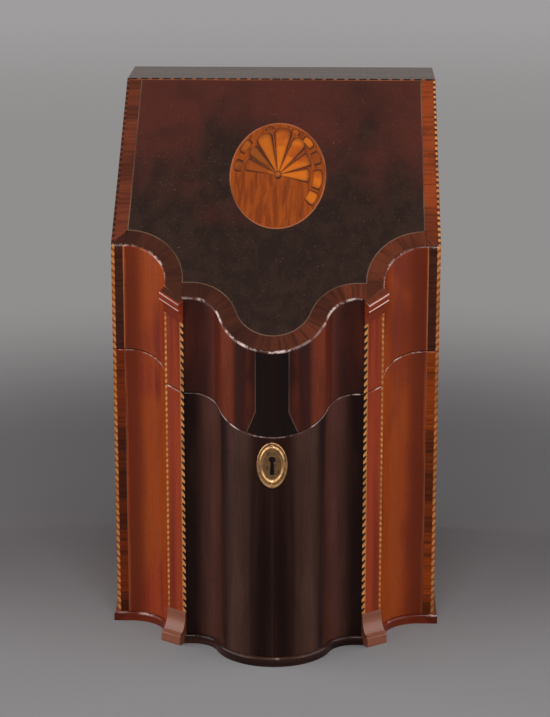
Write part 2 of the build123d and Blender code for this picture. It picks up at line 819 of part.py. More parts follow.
with BuildPart() as lid_back:
    lid_back_profile = cross_profile(
        [
            (back_inner_y, lid_parting_height(back_inner_y)),
            (back_y, lid_parting_height(back_y)),
            (back_y, flat_top_underside),
            (back_inner_y, flat_top_underside),
        ]
    )
    extrude(lid_back_profile, amount=half_width, both=True)
    lid_arris_bevel = lid_opening + arris_clearance - case_arris_bevel
    extrude(back_arris(lid_arris_bevel), amount=half_width, both=True, mode=Mode.SUBTRACT)
    hinge_mortise(lid_gap / 2, 1)
save(lid_back, "lid_back")


def keep_lid_wall():
    """Keep what stands between the lid's sawn edge and its sloping board."""
    split(bisect_by=lid_parting, keep=Keep.TOP)
    split(bisect_by=lid_slope_underside, keep=Keep.BOTTOM)


with BuildPart() as lid_wing:
    extrude(wing_band(0, 0, front_thickness), amount=box_height)
    keep_lid_wall()
save_pair(lid_wing, "lid_wing")

with BuildPart() as lid_pilaster:
    extrude(pilaster_plan(0), amount=box_height)
    extrude(pilaster_string_plan(0, 0, pilaster_thin_string), amount=box_height, mode=Mode.SUBTRACT)
    extrude(rope, amount=box_height, mode=Mode.SUBTRACT)
    keep_lid_wall()
save_pair(lid_pilaster, "lid_pilaster")

for name, start, end in (
    ("thin", 0, pilaster_thin_string),
    ("rope", pilaster_width - pilaster_rope_string, pilaster_width),
):
    with BuildPart() as lid_string:
        extrude(pilaster_plan(0), amount=box_height)
        extrude(pilaster_string_plan(0, start, end), amount=box_height, mode=Mode.INTERSECT)
        keep_lid_wall()
        mirror(about=Plane.YZ)
    save(lid_string, f"lid_{name}_stringing")

with BuildPart() as lid_corner_stringing:
    extrude(corner_string_plan(0), amount=box_height)
    keep_lid_wall()
    mirror(about=Plane.YZ)
save(lid_corner_stringing, "lid_corner_stringing")

link_plate_front = (lock_front_y - front_y) / cos(radians(parting_angle))
link_plate_back = (block_back_y - front_y) / cos(radians(parting_angle))


def link_plate_room(fit):
    """Plan of the link plate on the lid's sawn edge."""
    with BuildSketch(lid_parting) as plate:
        with Locations((0, (link_plate_front + link_plate_back) / 2)):
            Rectangle(link_plate_width + 2 * fit, link_plate_back - link_plate_front + 2 * fit)
    return plate.sketch


with BuildPart() as lid_keystone:
    extrude(bay_band(0, 0, keystone_thickness), amount=box_height)
    with BuildSketch(Plane.XZ.offset(-bow_centre_y)) as keystone_shape:
        with BuildLine():
            foot_z = lid_parting_height(crown_y)
            Polyline(
                (-keystone_width / 2, box_height),
                (-keystone_width / 2, foot_z + keystone_splay),
                (-keystone_foot_width / 2, foot_z),
                (keystone_foot_width / 2, foot_z),
                (keystone_width / 2, foot_z + keystone_splay),
                (keystone_width / 2, box_height),
                close=True,
            )
        make_face()
    extrude(keystone_shape.sketch, amount=2 * bow_radius, mode=Mode.INTERSECT)
    keep_lid_wall()
save(lid_keystone, "lid_keystone")

with BuildPart() as lid_front_bay:
    extrude(bay_band(0, 0, front_thickness), amount=box_height)
    keep_lid_wall()
    extrude(link_plate_room(lock_fit), amount=link_plate_thickness, mode=Mode.SUBTRACT)
    add(lid_keystone.part, mode=Mode.SUBTRACT)
save(lid_front_bay, "lid_front_bay")

with BuildPart() as lid_loop_block:
    extrude(block_plan(0), amount=box_height)
    extrude(bay_band(0, -front_thickness, front_thickness), amount=box_height, mode=Mode.SUBTRACT)
    split(bisect_by=lid_parting, keep=Keep.TOP)
    split(bisect_by=lid_parting.offset(loop_block_height), keep=Keep.BOTTOM)
    extrude(link_plate_room(lock_fit), amount=link_plate_thickness, mode=Mode.SUBTRACT)
save(lid_loop_block, "lid_loop_block")

with BuildPart() as lock_link_plate:
    extrude(link_plate_room(0), amount=link_plate_thickness)
    for place in loop_places:
        up_slope = (0, cos(radians(parting_angle)), sin(radians(parting_angle)))
        with BuildSketch(Plane(origin=loop_hole + Vector(place, 0, 0), x_dir=up_slope, z_dir=(1, 0, 0))) as loop:
            with Locations((0, -loop_reach)):
                height = loop_reach + loop_depth + link_plate_thickness / 2
                Rectangle(2 * loop_reach, height, align=(Align.CENTER, Align.MIN))
            Rectangle(loop_hole_size, loop_hole_size, mode=Mode.SUBTRACT)
        extrude(loop.sketch, amount=loop_thickness / 2, both=True)
save(lock_link_plate, "lock_link_plate")

shell_place = Plane(
    origin=(0, front_y + shell_from_corner, lid_corner_height + shell_from_corner * slope_rise),
    x_dir=(1, 0, 0),
    z_dir=lid_slope.z_dir,
)

with BuildPart() as lid_slope_board:
    extrude(outline_plan(0, slope_end_y), amount=box_height)
    split(bisect_by=lid_slope, keep=Keep.BOTTOM)
    split(bisect_by=lid_slope_underside, keep=Keep.TOP)
    with BuildSketch(shell_place) as shell_recess:
        Ellipse(shell_width / 2, shell_length / 2)
    extrude(shell_recess.sketch, amount=-shell_thickness, mode=Mode.SUBTRACT)
save(lid_slope_board, "lid_slope_board")

with BuildPart() as shell_inlay:
    extrude(shell_recess.sketch, amount=-shell_thickness)
save(shell_inlay, "shell_inlay")

with BuildPart() as lid_flat_top:
    with BuildSketch(Plane.XY.offset(flat_top_underside)):
        with Locations((0, (slope_end_y + back_y) / 2)):
            Rectangle(box_width, flat_top_depth)
    extrude(amount=lid_board_thickness)
save(lid_flat_top, "lid_flat_top")

with BuildPart() as lid_capital:
    edge_drop = capital_projection * out_of_face[1] * slope_rise
    quirk_x = capital_projection - capital_quirk
    band_foot = edge_drop - capital_band
    bead_top = band_foot - capital_quirk
    bead_foot = bead_top - capital_bead
    start_height = lid_corner_height + (outer_corner[1] - front_y) * slope_rise
    with BuildSketch(
        Plane(origin=(*outer_corner, start_height), x_dir=(*out_of_face, 0), z_dir=(*along_face, 0))
    ):
        with BuildLine():
            Polyline(
                (capital_lip, -capital_height),
                (0, -capital_height),
                (0, capital_projection),
                (capital_projection, capital_projection),
                (capital_projection, band_foot),
                (quirk_x, band_foot),
                (quirk_x, bead_top),
            )
            ThreePointArc(
                (quirk_x, bead_top),
                (quirk_x + capital_bead / 2, (bead_top + bead_foot) / 2),
                (quirk_x, bead_foot),
            )
            hollow_start = (quirk_x, bead_foot)
            hollow = ((capital_projection + 2 * capital_lip) / 3, (2 * bead_foot - capital_height) / 3)
            ThreePointArc(hollow_start, hollow, (capital_lip, -capital_height))
        make_face()
    extrude(
        amount=pilaster_width * hypot(1, along_face[1] * slope_rise),
        dir=(*along_face, along_face[1] * slope_rise),
    )
    split(bisect_by=lid_slope, keep=Keep.BOTTOM)
save_pair(lid_capital, "lid_capital")
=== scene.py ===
"""Looks of an antique knife box in French polished mahogany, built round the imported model.

Laid out as a Blender add-on and run as a script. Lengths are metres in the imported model's frame: +Z up,
front towards -Y, origin under the middle of the box.
"""

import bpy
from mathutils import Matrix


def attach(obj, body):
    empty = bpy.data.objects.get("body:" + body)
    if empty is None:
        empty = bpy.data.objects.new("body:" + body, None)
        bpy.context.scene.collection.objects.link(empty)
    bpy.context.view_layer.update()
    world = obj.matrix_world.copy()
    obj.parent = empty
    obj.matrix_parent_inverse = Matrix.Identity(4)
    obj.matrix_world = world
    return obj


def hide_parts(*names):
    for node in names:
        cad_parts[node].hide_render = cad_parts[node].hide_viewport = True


bl_info = {
    "name": "Antique Knife Box",
    "version": (1, 0, 0),
    "blender": (4, 5, 0),
    "location": "View3D > Sidebar > Knife Box",
    "description": "Dresses the packed knife box in polished veneers, stringing, a shell inlay and brass",
    "category": "Object",
}

from collections import namedtuple
from math import asin, atan2, cos, degrees, pi, radians, sin, sqrt, tan

import bpy
from bpy.props import FloatProperty, FloatVectorProperty, PointerProperty
from mathutils import Vector
from mathutils.geometry import tessellate_polygon

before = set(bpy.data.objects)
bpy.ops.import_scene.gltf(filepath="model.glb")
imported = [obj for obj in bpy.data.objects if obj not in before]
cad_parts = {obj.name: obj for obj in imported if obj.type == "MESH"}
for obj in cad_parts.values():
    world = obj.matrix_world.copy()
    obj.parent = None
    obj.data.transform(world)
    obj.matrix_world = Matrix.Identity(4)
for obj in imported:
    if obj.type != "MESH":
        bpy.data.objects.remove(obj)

MM = 0.001

# Tones of worn arrises that also carry painted highlights, of painted shade, and of woods that hardly show
RUBBED_HIGHLIT_WOOD = (0.3, 0.19, 0.15)
WORN_HIGHLIT_ARRIS = (0.78, 0.58, 0.52)
# Painted shade in the groove between the lid and the case
PARTING_SHADE = (0.004, 0.002, 0.002)
STAINED_WOOD, STAINED_GRAIN = (0.012, 0.004, 0.002), (0.006, 0.002, 0.002)
KEYSTONE_LINE = (0.14, 0.08, 0.055)
WORN_LINE = (0.17, 0.088, 0.055)
INSIDE_WOOD, INSIDE_GRAIN = (0.22, 0.105, 0.046), (0.13, 0.06, 0.027)
PLAIN_WOOD, PLAIN_GRAIN = (0.2, 0.1, 0.045), (0.11, 0.052, 0.024)
FOOT_WOOD, FOOT_GRAIN = (0.28, 0.085, 0.042), (0.16, 0.045, 0.022)
RACK_WOOD, RACK_GRAIN = (0.17, 0.056, 0.028), (0.1, 0.032, 0.017)
SCORCHED_WOOD = (0.05, 0.014, 0.006)
# Painted shade: black for the unlit hollows of the keyhole and the screws' slots
HOLE_SHADE = (0.004, 0.001, 0.001)
STEEL = (0.4, 0.4, 0.42)


# ---------------------------------------------------------------- sizes and colours a user would change
def length(name, millimetres, description):
    """A length property, its default given in millimetres."""
    return FloatProperty(
        name=name, description=description, default=millimetres * MM, unit="LENGTH", precision=5
    )


def angle(name, turn, description):
    """An angle property, its default given in degrees."""
    return FloatProperty(name=name, description=description, default=radians(turn), subtype="ANGLE")


def colour(name, rgb, description):
    """A colour property, its default given as the colour looks on a screen."""
    linear = [(c / 255 / 12.92) if c < 11 else ((c / 255 + 0.055) / 1.055) ** 2.4 for c in rgb]
    return FloatVectorProperty(
        name=name, description=description, default=linear, subtype="COLOR", size=3, min=0, max=1
    )


class KnifeBoxShape(bpy.types.PropertyGroup):
    """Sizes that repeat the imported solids', and those of the veneers and inlays."""

    width: length("Width", 229.0, "Across the sides")
    height: length("Height", 373.0, "From the base to the flat top")
    side_depth: length("Side depth", 208.0, "From the front side corners to the back")
    flat_top: length("Flat top", 62.0, "Level strip at the back of the lid")
    slope: angle("Slope", 33.0, "Of the lid's front")
    lid_front: length("Lid at the corners", 75.2, "Lid's height at the front side corners")
    parting: angle("Parting", 24.7, "Of the sawn edge between case and lid")
    gap: length("Gap", 0.5, "Between the case's sawn edge and the lid's")
    side: length("Side board", 10.0, "Thickness of the side boards")
    front: length("Front board", 11.0, "Thickness of the wings and the bay")
    back: length("Back board", 11.0, "Thickness of the back boards")
    lid_board: length("Lid board", 8.0, "Thickness of the lid's boards")
    base: length("Base board", 6.5, "Thickness of the base")
    hinge_inset: length("Hinge inset", 2.4, "Hinge line forward of the back")
    hinge_from_side: length("Hinge place", 52.5, "Hinge's middle from the side")
    case_bevel: angle("Case bevel", 45.0, "Of the case's back arris")
    lid_bevel: angle("Lid bevel", 57.0, "Of the lid's back arris")
    pilaster_x: length("Pilaster's outer corner", 75.4, "From the middle")
    pilaster_step: length("Pilaster step", 4.0, "Outer corner forward of the cove")
    pilaster_width: length("Pilaster width", 16.7, "Along the canted face")
    cant: angle("Pilaster cant", 35.7, "Of the canted face")
    bay_setback: length("Bay setback", 0.9, "Bay's start behind the pilaster's inner corner")
    bay_flat: length("Bay flat", 4.7, "Straight run of the bay beside the pilaster")
    bay: length("Bay projection", 83.0, "Bow's crown forward of the side corners")
    bow: length("Bow radius", 39.2, "Of the bay's convex middle")
    corner_string: length("Corner string", 2.4, "Square of the string at the front corners")
    thin_string: length("Thin string", 2.0, "Width of the pilaster's outer string")
    rope_string: length("Rope string", 3.3, "Width of the pilaster's inner string")
    string_depth: length("String depth", 2.2, "Depth of the pilaster's strings")
    moulding_height: length("Moulding height", 6.5, "Of the base moulding")
    moulding: length("Moulding projection", 2.4, "Of the base moulding")
    moulding_round: length("Moulding round", 1.8, "Rounding of the base moulding")
    foot: length("Foot projection", 7.5, "Pilaster's foot out of its face")
    foot_height: length("Foot height", 23.0, "Of the pilaster's foot")
    foot_block: length("Foot block", 6.2, "Height of the foot's block")
    capital: length("Capital projection", 5.2, "Pilaster's capital out of its face")
    capital_height: length("Capital height", 17.0, "Of the pilaster's capital")
    capital_band: length("Capital band", 3.0, "Height of the capital's upper band")
    slope_round: length("Slope arris", 1.3, "Rounding of the lid's serpentine arris")
    sawn_round: length("Sawn arris", 0.6, "Rounding of the arrises at the parting")
    veneer: length("Veneer", 0.1, "Side veneer, out of the boards' faces")
    side_band: length("Side crossband", 10.5, "Width of the crossband at the lid's sides")
    front_band: length("Front crossband", 12.0, "Width of the crossband along the serpentine")
    corner_band: length("Corner crossband", 8.1, "Light line beside the corner crossband, from the side")
    line: length("Light line", 0.8, "Width of the light lines")
    edge_string: length("Edge string", 1.9, "Width of the strings along the lid's arrises")
    shell_width: length("Shell width", 69.0, "Of the inlaid shell")
    shell_length: length("Shell length", 109.0, "Of the inlaid shell, up the slope")
    shell_place: length("Shell place", 59.6, "Shell's middle behind the front side corners")
    keystone: length("Keystone width", 23.0, "Of the dark strip in the lid's bay")
    keystone_foot: length("Keystone foot", 35.0, "Width at its foot")
    keystone_splay: length("Keystone splay", 17.0, "Height of its splayed foot")
    keyhole_drop: length("Keyhole place", 15.2, "Keyhole under the sawn edge")
    escutcheon: length("Escutcheon width", 20.3, "Of the keyhole's plate")
    escutcheon_height: length("Escutcheon height", 32.3, "Of the keyhole's plate")
    escutcheon_drop: length("Escutcheon place", 4.1, "Plate's middle under the keyhole")
    escutcheon_rim: length("Escutcheon rim", 1.8, "Rim out of the wood")
    rack_drop: length("Rack place", 14.0, "Rack's top under the case's sawn edge")
    knife_slot: length("Knife slot width", 10.0, "Of a knife's slot in the rack")
    knife_slot_length: length("Knife slot length", 26.0, "Of a knife's slot in the rack")
    knife_spacing: length("Knife slot spacing", 31.0, "From slot to slot along a row")
    row_spacing: length("Row spacing", 52.0, "From row to row")
    first_row: length("First row", 44.0, "Behind the front side corners")
    spoon_slot: length("Spoon slot width", 14.0, "Of a spoon's slot in the rack")
    spoon_slot_length: length("Spoon slot length", 11.0, "Of a spoon's slot in the rack")
    spoon_spacing: length("Spoon slot spacing", 25.0, "From slot to slot")
    spoon_row: length("Spoon row", 14.0, "Before the front side corners")
    slot_line: length("Slot line", 1.2, "Width of the light lines round the slots")
    lock_setback: length("Lock place", 19.4, "Plates' middle behind the bow's crown")
    selvedge_screw: length("Selvedge screw", 22.5, "From the middle, in the lock's plate")
    link_screw: length("Link plate screw", 17.5, "From the middle, in the lid's plate")
    hinge_screw: length("Hinge screw", 14.0, "From the hinge's middle")
    hinge_leaf: length("Hinge leaf", 7.6, "Width of a leaf from the hinge line")
    screw: length("Screw", 3.4, "Across a countersunk head")


class KnifeBoxColours(bpy.types.PropertyGroup):
    """Colours of the polished woods and the brass."""

    cove: colour("Cove veneer", (156, 60, 29), "Red mahogany of the coves and pilasters")
    cove_dark: colour("Cove streaks", (112, 37, 18), "Darker streaks in the coves")
    cove_faded: colour("Faded cove", (160, 70, 18), "Orange patches in the coves")
    cove_right: colour("Right cove veneer", (124, 46, 18), "The right-hand cove")
    # Painted light on the coves beside the pilasters, and below it painted shade beside the corner
    # crossbands
    cove_painted_light: colour("Cove's inner part", (190, 92, 38), "Beside the pilasters")
    cove_shadow: colour("Cove's outer part", (104, 38, 14), "Beside the corner crossbands")
    side: colour("Side veneer", (122, 48, 25), "Red-brown mahogany of the sides")
    bay: colour("Bay veneer", (66, 38, 29), "Aged dark mahogany of the lower bay")
    # Also painted shade in the bay's recess beside each pilaster
    bay_dark: colour("Bay streaks", (26, 8, 5), "Darker streaks in the bay")
    # The bay's lighter bands here and next are painted reflections; the first also tints the middle seam
    bay_seam_and_reflection: colour("Bay's bands", (80, 53, 45), "Faded bands down the bay")
    bay_red_reflection: colour("Bay's outer bands", (88, 50, 42), "Redder bands beside the bay's flats")
    lid_bay: colour("Lid bay veneer", (94, 38, 24), "Red-brown mahogany of the lid's bay")
    # Also painted shade in the lid bay's recess beside each pilaster
    lid_bay_dark: colour("Lid bay streaks", (46, 15, 10), "Darker streaks in the lid's bay")
    lid_bay_red: colour("Lid bay's bands", (124, 50, 24), "Redder bands down the lid's bay")
    field: colour("Lid field", (50, 33, 26), "Faded dark veneer of the sloping lid")
    field_dark: colour("Lid field streaks", (38, 25, 20), "Darker streaks in the lid's field")
    field_red: colour("Lid field's top", (82, 38, 30), "Redder tone towards the lid's top")
    flat_top: colour("Flat top", (86, 66, 50), "Faded veneer of the flat top")
    # Each crossband's right-hand tone is painted light: lighter on the box's right, as if lit from that side
    side_band: colour("Side crossband", (110, 50, 28), "Crossbanding along the lid's left side")
    side_band_right_lit: colour("Faded side crossband", (146, 62, 22), "Along the lid's right side")
    front_band: colour("Front crossband", (72, 34, 20), "Crossbanding along the serpentine")
    front_band_right_lit: colour("Faded front crossband", (100, 46, 26), "Right-hand part of the same")
    corner_band: colour("Corner crossband", (124, 46, 8), "Crossbanding beside the front corners")
    corner_band_right_lit: colour("Faded corner crossband", (158, 66, 8), "The same on the right")
    band_dark: colour("Crossband ripple", (36, 12, 6), "Ripple across the crossbanding")
    boxwood: colour("Boxwood", (212, 142, 78), "Light stringing wood")
    amber: colour("Amber wood", (150, 70, 26), "Middle tone of the corner strings")
    amber_dark: colour("Dark amber wood", (70, 24, 10), "Dark part of the lid's edge strings")
    ebony: colour("Ebony", (26, 8, 3), "Dark stringing wood")
    rope_border: colour("Rope's border", (176, 104, 52), "Edge of the pilaster's inner string")
    line: colour("Light line", (186, 108, 68), "Thin inlaid lines")
    satinwood: colour("Satinwood", (212, 110, 20), "Shell's petals")
    shell_rim: colour("Shell's rim", (176, 100, 62), "Line round the shell")
    shell_half: colour("Shell's lower half", (156, 72, 18), "Plain part under the petals")
    shell_half_dark: colour("Shell's grain", (122, 52, 14), "Grain in the plain part")
    brass: colour("Brass", (212, 164, 114), "Escutcheon and hinges")


class KnifeBoxStage(bpy.types.PropertyGroup):
    """Camera, studio paper and the light all round."""

    lens: FloatProperty(name="Lens", description="Focal length, mm", default=114.88)
    camera: FloatVectorProperty(
        name="Camera", description="Camera's place", default=(0.043908, -1.61109, 0.62368), subtype="XYZ"
    )
    turn: angle("Turn", -1.6372, "Camera's direction to the right of +Y")
    tilt: angle("Tilt", 15.378, "Camera's direction below the horizon")
    floor: colour("Floor", (140, 138, 139), "Studio floor")
    shade: colour("Shaded floor", (114, 111, 112), "Studio floor beside and behind the box")
    backdrop: colour("Backdrop", (145, 142, 142), "Studio floor further off")
    backdrop_top: colour("Backdrop's top", (159, 157, 157), "Studio floor far off, and above it")
    lit_floor: length("Lit floor", 400.0, "How far from the box the lamps alone light the floor")
    plain_floor: length("Plain floor", 950.0, "Where the floor is plain")
    fill: FloatProperty(name="Fill", description="Strength of the light all round", default=0.3)


# ---------------------------------------------------------------- plan of the box
# section names the finish of the edge that starts at a corner, way is the corner's place along the grain,
# round the box, and shown tells whether that edge can be seen
Corner = namedtuple("Corner", "x y section way shown")


def corners(path, section, shown=True):
    """Corners of an outline along a path of (x, y, way), each with the section that starts there."""
    return [Corner(x, y, section, way, shown) for x, y, way in path]


def both_sides(right):
    """A path from left to right, from its right half, which starts in the middle."""
    return [(-x, y, -way) for x, y, way in right[:0:-1]] + right


class Plan:
    """The box's plan and its cutting planes, worked out from the sizes."""

    def __init__(self, size):
        self.size = size
        self.half = size.width / 2
        self.face = self.half + size.veneer
        self.front_y = (size.bay + size.moulding - size.side_depth) / 2
        self.back_y = self.front_y + size.side_depth
        self.back_inner_y = self.back_y - size.back
        self.slope_end_y = self.back_y - size.flat_top
        self.inner_x = self.half - size.side
        self.cove_radius = self.inner_x - size.pilaster_x
        self.cove_y = self.front_y - self.cove_radius
        self.along = (-cos(size.cant), -sin(size.cant))
        self.out = (sin(size.cant), -cos(size.cant))
        self.outer_corner = (size.pilaster_x, self.cove_y - size.pilaster_step)
        self.inner_corner = self.on_pilaster(size.pilaster_width)
        self.bay_end = (self.inner_corner[0], self.inner_corner[1] + size.bay_setback)
        self.flank_x = self.bay_end[0] - size.bay_flat
        step = 0.02 * MM
        self.flat_start_y = self.slope_end_y + step
        self.crown_y = self.front_y - size.bay
        self.bow_y = self.crown_y + size.bow
        rise = self.bay_end[1] - self.bow_y
        self.flank_radius = (self.flank_x**2 + rise**2 - size.bow**2) / (2 * (size.bow + rise))
        self.flank_y = self.bay_end[1] - self.flank_radius
        self.join = atan2(self.flank_y - self.bow_y, self.flank_x)
        self.corner_z = size.height - (self.slope_end_y - self.front_y) * tan(size.slope)
        self.parting_z = self.corner_z - size.lid_front
        self.hinge_y = self.back_y - size.hinge_inset
        self.hinge_z = self.case_top(self.hinge_y) + size.gap / 2 / cos(size.parting)
        self.keyhole_z = self.case_top(self.crown_y) - size.keyhole_drop

    def on_pilaster(self, along, out=0.0):
        """Point of the right pilaster, along its face from the outer corner and out of it."""
        return (
            self.outer_corner[0] + along * self.along[0] + out * self.out[0],
            self.outer_corner[1] + along * self.along[1] + out * self.out[1],
        )

    def floor(self, y):
        """Height of the ground."""
        return 0.0

    def base_top(self, y):
        """Height of the base board's top."""
        return self.size.base

    def case_top(self, y):
        """Height of the case's sawn edge."""
        return self.parting_z + (y - self.front_y) * tan(self.size.parting)

    def lid_bottom(self, y):
        """Height of the lid's sawn edge."""
        return self.case_top(y) + self.size.gap / cos(self.size.parting)

    def case_side_top(self, y):
        """Height of the case's edge at its sides, bevelled behind the hinges."""
        return min(self.case_top(y), self.hinge_z - (y - self.hinge_y) * tan(self.size.case_bevel))

    def lid_side_bottom(self, y):
        """Height of the lid's edge at its sides, bevelled behind the hinges."""
        return max(self.lid_bottom(y), self.hinge_z + (y - self.hinge_y) * tan(self.size.lid_bevel))

    def slope_top(self, y):
        """Height of the lid's slope."""
        return self.corner_z + (y - self.front_y) * tan(self.size.slope)

    def slope_underside(self, y):
        """Height of the underside of the sloping board."""
        return self.slope_top(y) - self.size.lid_board / cos(self.size.slope)

    def lid_underside(self, y):
        """Height of the underside of the lid's boards, sloping and level."""
        if y > self.slope_end_y:
            return self.size.height - self.size.lid_board
        return self.slope_underside(y)

    def on_slope(self, x, along, proud=0.0):
        """Point of the lid's slope, measured up it from the front side corners."""
        slope = self.size.slope
        y = self.front_y + along * cos(slope)
        return (x, y - proud * sin(slope), self.slope_top(y) + proud * cos(slope))

    def right_bay(self, inset=0.0, bow_steps=30, flank_steps=16):
        """Right half of the bay's line, from the crown, inside its show face: (x, y, way)."""
        size = self.size
        bow, flank = size.bow - inset, self.flank_radius + inset
        path = []
        for step in range(bow_steps + 1):
            turn = -pi / 2 + (self.join + pi / 2) * step / bow_steps
            path.append((bow * cos(turn), self.bow_y + bow * sin(turn), (turn + pi / 2) * size.bow))
        bow_way = path[-1][2]
        for step in range(1, flank_steps + 1):
            turn = pi + self.join - (pi / 2 + self.join) * step / flank_steps
            way = bow_way + (pi + self.join - turn) * self.flank_radius
            path.append((self.flank_x + flank * cos(turn), self.flank_y + flank * sin(turn), way))
        path.append((self.bay_end[0], self.bay_end[1] + inset, path[-1][2] + size.bay_flat))
        return path

    def right_cove(self, inset=0.0, steps=20):
        """Right wing's line, from the pilaster to the side board, like right_bay's."""
        radius = self.cove_radius + inset
        path = []
        for step in range(steps + 1):
            turn = pi - pi / 2 * step / steps
            way = 0.2 + (pi - turn) * self.cove_radius
            path.append((self.inner_x + radius * cos(turn), self.cove_y + radius * sin(turn), way))
        return path

    def lid_ring(self, inset=0.0, side=0.0):
        """Outline of the sloping board, or a line inside it at one distance from the front and one
        from the sides, with as many corners."""
        size = self.size
        right = [(*point, "bay") for point in self.right_bay(inset)]
        mitre = (self.inner_x - self.cove_radius - inset, self.bay_end[1] + inset)
        for point, section in ((self.inner_corner, "pilaster"), (self.outer_corner, "cove")):
            right.append((*(mitre if inset else point), 0.18, section))
        right += [(*point, "cove") for point in self.right_cove(inset)]
        edge = self.half - side
        front_y = self.front_y + inset
        for x, section in (
            (self.half - size.corner_band - size.line, "line"),
            (self.half - size.corner_band, "crossband"),
            (self.half - size.corner_string, "string"),
            (self.half, "string"),
        ):
            right.append((min(x, edge), front_y, 0.2 + x, section))
        face = edge if side else self.face
        string_y = self.front_y + max(size.corner_string, inset)
        right.append((face, string_y, 1 + string_y, "side"))
        right.append((face, self.slope_end_y, 1 + self.slope_end_y, "rear"))
        ring = []
        for (x, y, way, _), (*_, section) in zip(right[:0:-1], right[-2::-1]):
            ring.append(Corner(-x, y, section, way if section == "side" else -way, section != "pilaster"))
        for x, y, way, section in right:
            ring.append(Corner(x, y, section, way, section not in ("pilaster", "rear")))
        return ring


# ---------------------------------------------------------------- meshes
class Shape:
    """Vertices and faces of one piece, with each face's finish and each corner's place in the grain."""

    def __init__(self):
        self.vertices = []
        self.wear_light_and_scorch = []
        self.faces = []
        self.finishes = []

    def vertex(self, place, wear_light_and_scorch=0.0):
        """Add a vertex and say which it is."""
        self.vertices.append(tuple(place))
        self.wear_light_and_scorch.append(wear_light_and_scorch)
        return len(self.vertices) - 1

    def face(self, loop, look, grain=None):
        """Add a face, leaving out corners that fall together."""
        kept = []
        for place, vertex in enumerate(loop):
            apart = Vector(self.vertices[vertex]) - Vector(self.vertices[loop[place - 1]])
            if apart.length > 1e-7:
                kept.append(place)
        if len(kept) < 3:
            return
        if look not in self.finishes:
            self.finishes.append(look)
        if grain is None:
            grain = [self.vertices[vertex] for vertex in loop]
        self.faces.append((
            [loop[k] for k in kept],
            self.finishes.index(look),
            [tuple(grain[k]) for k in kept],
        ))

    def strip(self, first, second, look, closed=False):
        """Join two rows of vertices by faces."""
        count = len(first)
        for place in range(count if closed else count - 1):
            after = (place + 1) % count
            self.face([first[place], first[after], second[after], second[place]], look)

    def tube(self, rows, look):
        """Join closed rows of vertices, each to the next."""
        for first, second in zip(rows, rows[1:]):
            self.strip(first, second, look, closed=True)

    def cap(self, loops, look, normal=(0, 0, 1)):
        """Fill a flat outline facing one way, and leave its holes open."""
        rings = [[Vector(self.vertices[vertex]) for vertex in loop] for loop in loops]
        flat = [vertex for loop in loops for vertex in loop]
        for triangle in tessellate_polygon(rings):
            three = [flat[place] for place in triangle]
            p, q, r = (Vector(self.vertices[vertex]) for vertex in three)
            area = (q - p).cross(r - p)
            if area.length < 1e-13:
                continue
            if area.dot(Vector(normal)) < 0:
                three.reverse()
            self.face(three, look)

    def reflected(self):
        """This shape's mirror image across the middle plane."""
        twin = Shape()
        twin.finishes = self.finishes
        twin.vertices = [(-x, y, z) for x, y, z in self.vertices]
        twin.wear_light_and_scorch = self.wear_light_and_scorch
        twin.faces = [(loop[::-1], look, grain[::-1]) for loop, look, grain in self.faces]
        return twin

    def make(self, name, smooth=35.0, bevel=0.0):
        """Make the object."""
        mesh = bpy.data.meshes.new(name)
        mesh.from_pydata(self.vertices, [], [loop for loop, _, _ in self.faces])
        mesh.polygons.foreach_set("material_index", [look for _, look, _ in self.faces])
        numbers = [number for _, _, places in self.faces for place in places for number in place]
        grain = mesh.attributes.new("grain", "FLOAT_VECTOR", "CORNER")
        grain.data.foreach_set("vector", numbers)
        wear_light_and_scorch = mesh.attributes.new("wear_light_and_scorch", "FLOAT", "POINT")
        wear_light_and_scorch.data.foreach_set("value", self.wear_light_and_scorch)
        for look in self.finishes:
            mesh.materials.append(finish(look))
        mesh.polygons.foreach_set("use_smooth", [True] * len(mesh.polygons))
        mesh.set_sharp_from_angle(angle=radians(smooth))
        piece = bpy.data.objects.new(name, mesh)
        bpy.context.scene.collection.objects.link(piece)
        if bevel:
            rounding = piece.modifiers.new("rounded_arrises", "BEVEL")
            rounding.width = bevel
            rounding.segments = 3
            rounding.angle_limit = radians(32)
        return piece


def offsets(outline):
    """How far each corner moves, mitred, for its shown edges to move out by one."""
    found = []
    for place, here in enumerate(outline):
        before, after = outline[place - 1], outline[(place + 1) % len(outline)]
        normals = []
        for start, end in ((before, here), (here, after)):
            if start.shown:
                normals.append(Vector((end.y - start.y, start.x - end.x)).normalized())
        total = sum(normals, Vector((0.0, 0.0)))
        if total.length > 0.5:
            total *= len(normals) / total.length_squared
        found.append(total)
    return found


def arris(cut, side, size, wear_light_and_scorch=1.0, steps=4, support=0.5 * MM):
    """Rows that round an arris from the wall to the cut: (cut, side of it, inset, distance, wear and painted
    light). The last is highest in the middle of the round, where the arris is painted pale as wear and as a
    painted highlight; a negative value paints it dark as shade in the groove.
    """
    if not size:
        return [(cut, side, 0.0, 0.0, 0.0)]
    rows = [(cut, side, 0.0, size + support, 0.0)]
    for step in range(steps + 1):
        turn = pi / 2 * step / steps
        rows.append((cut, side, size * (1 - cos(turn)), size * (1 - sin(turn)), wear_light_and_scorch * sin(2 * turn)))
    return rows


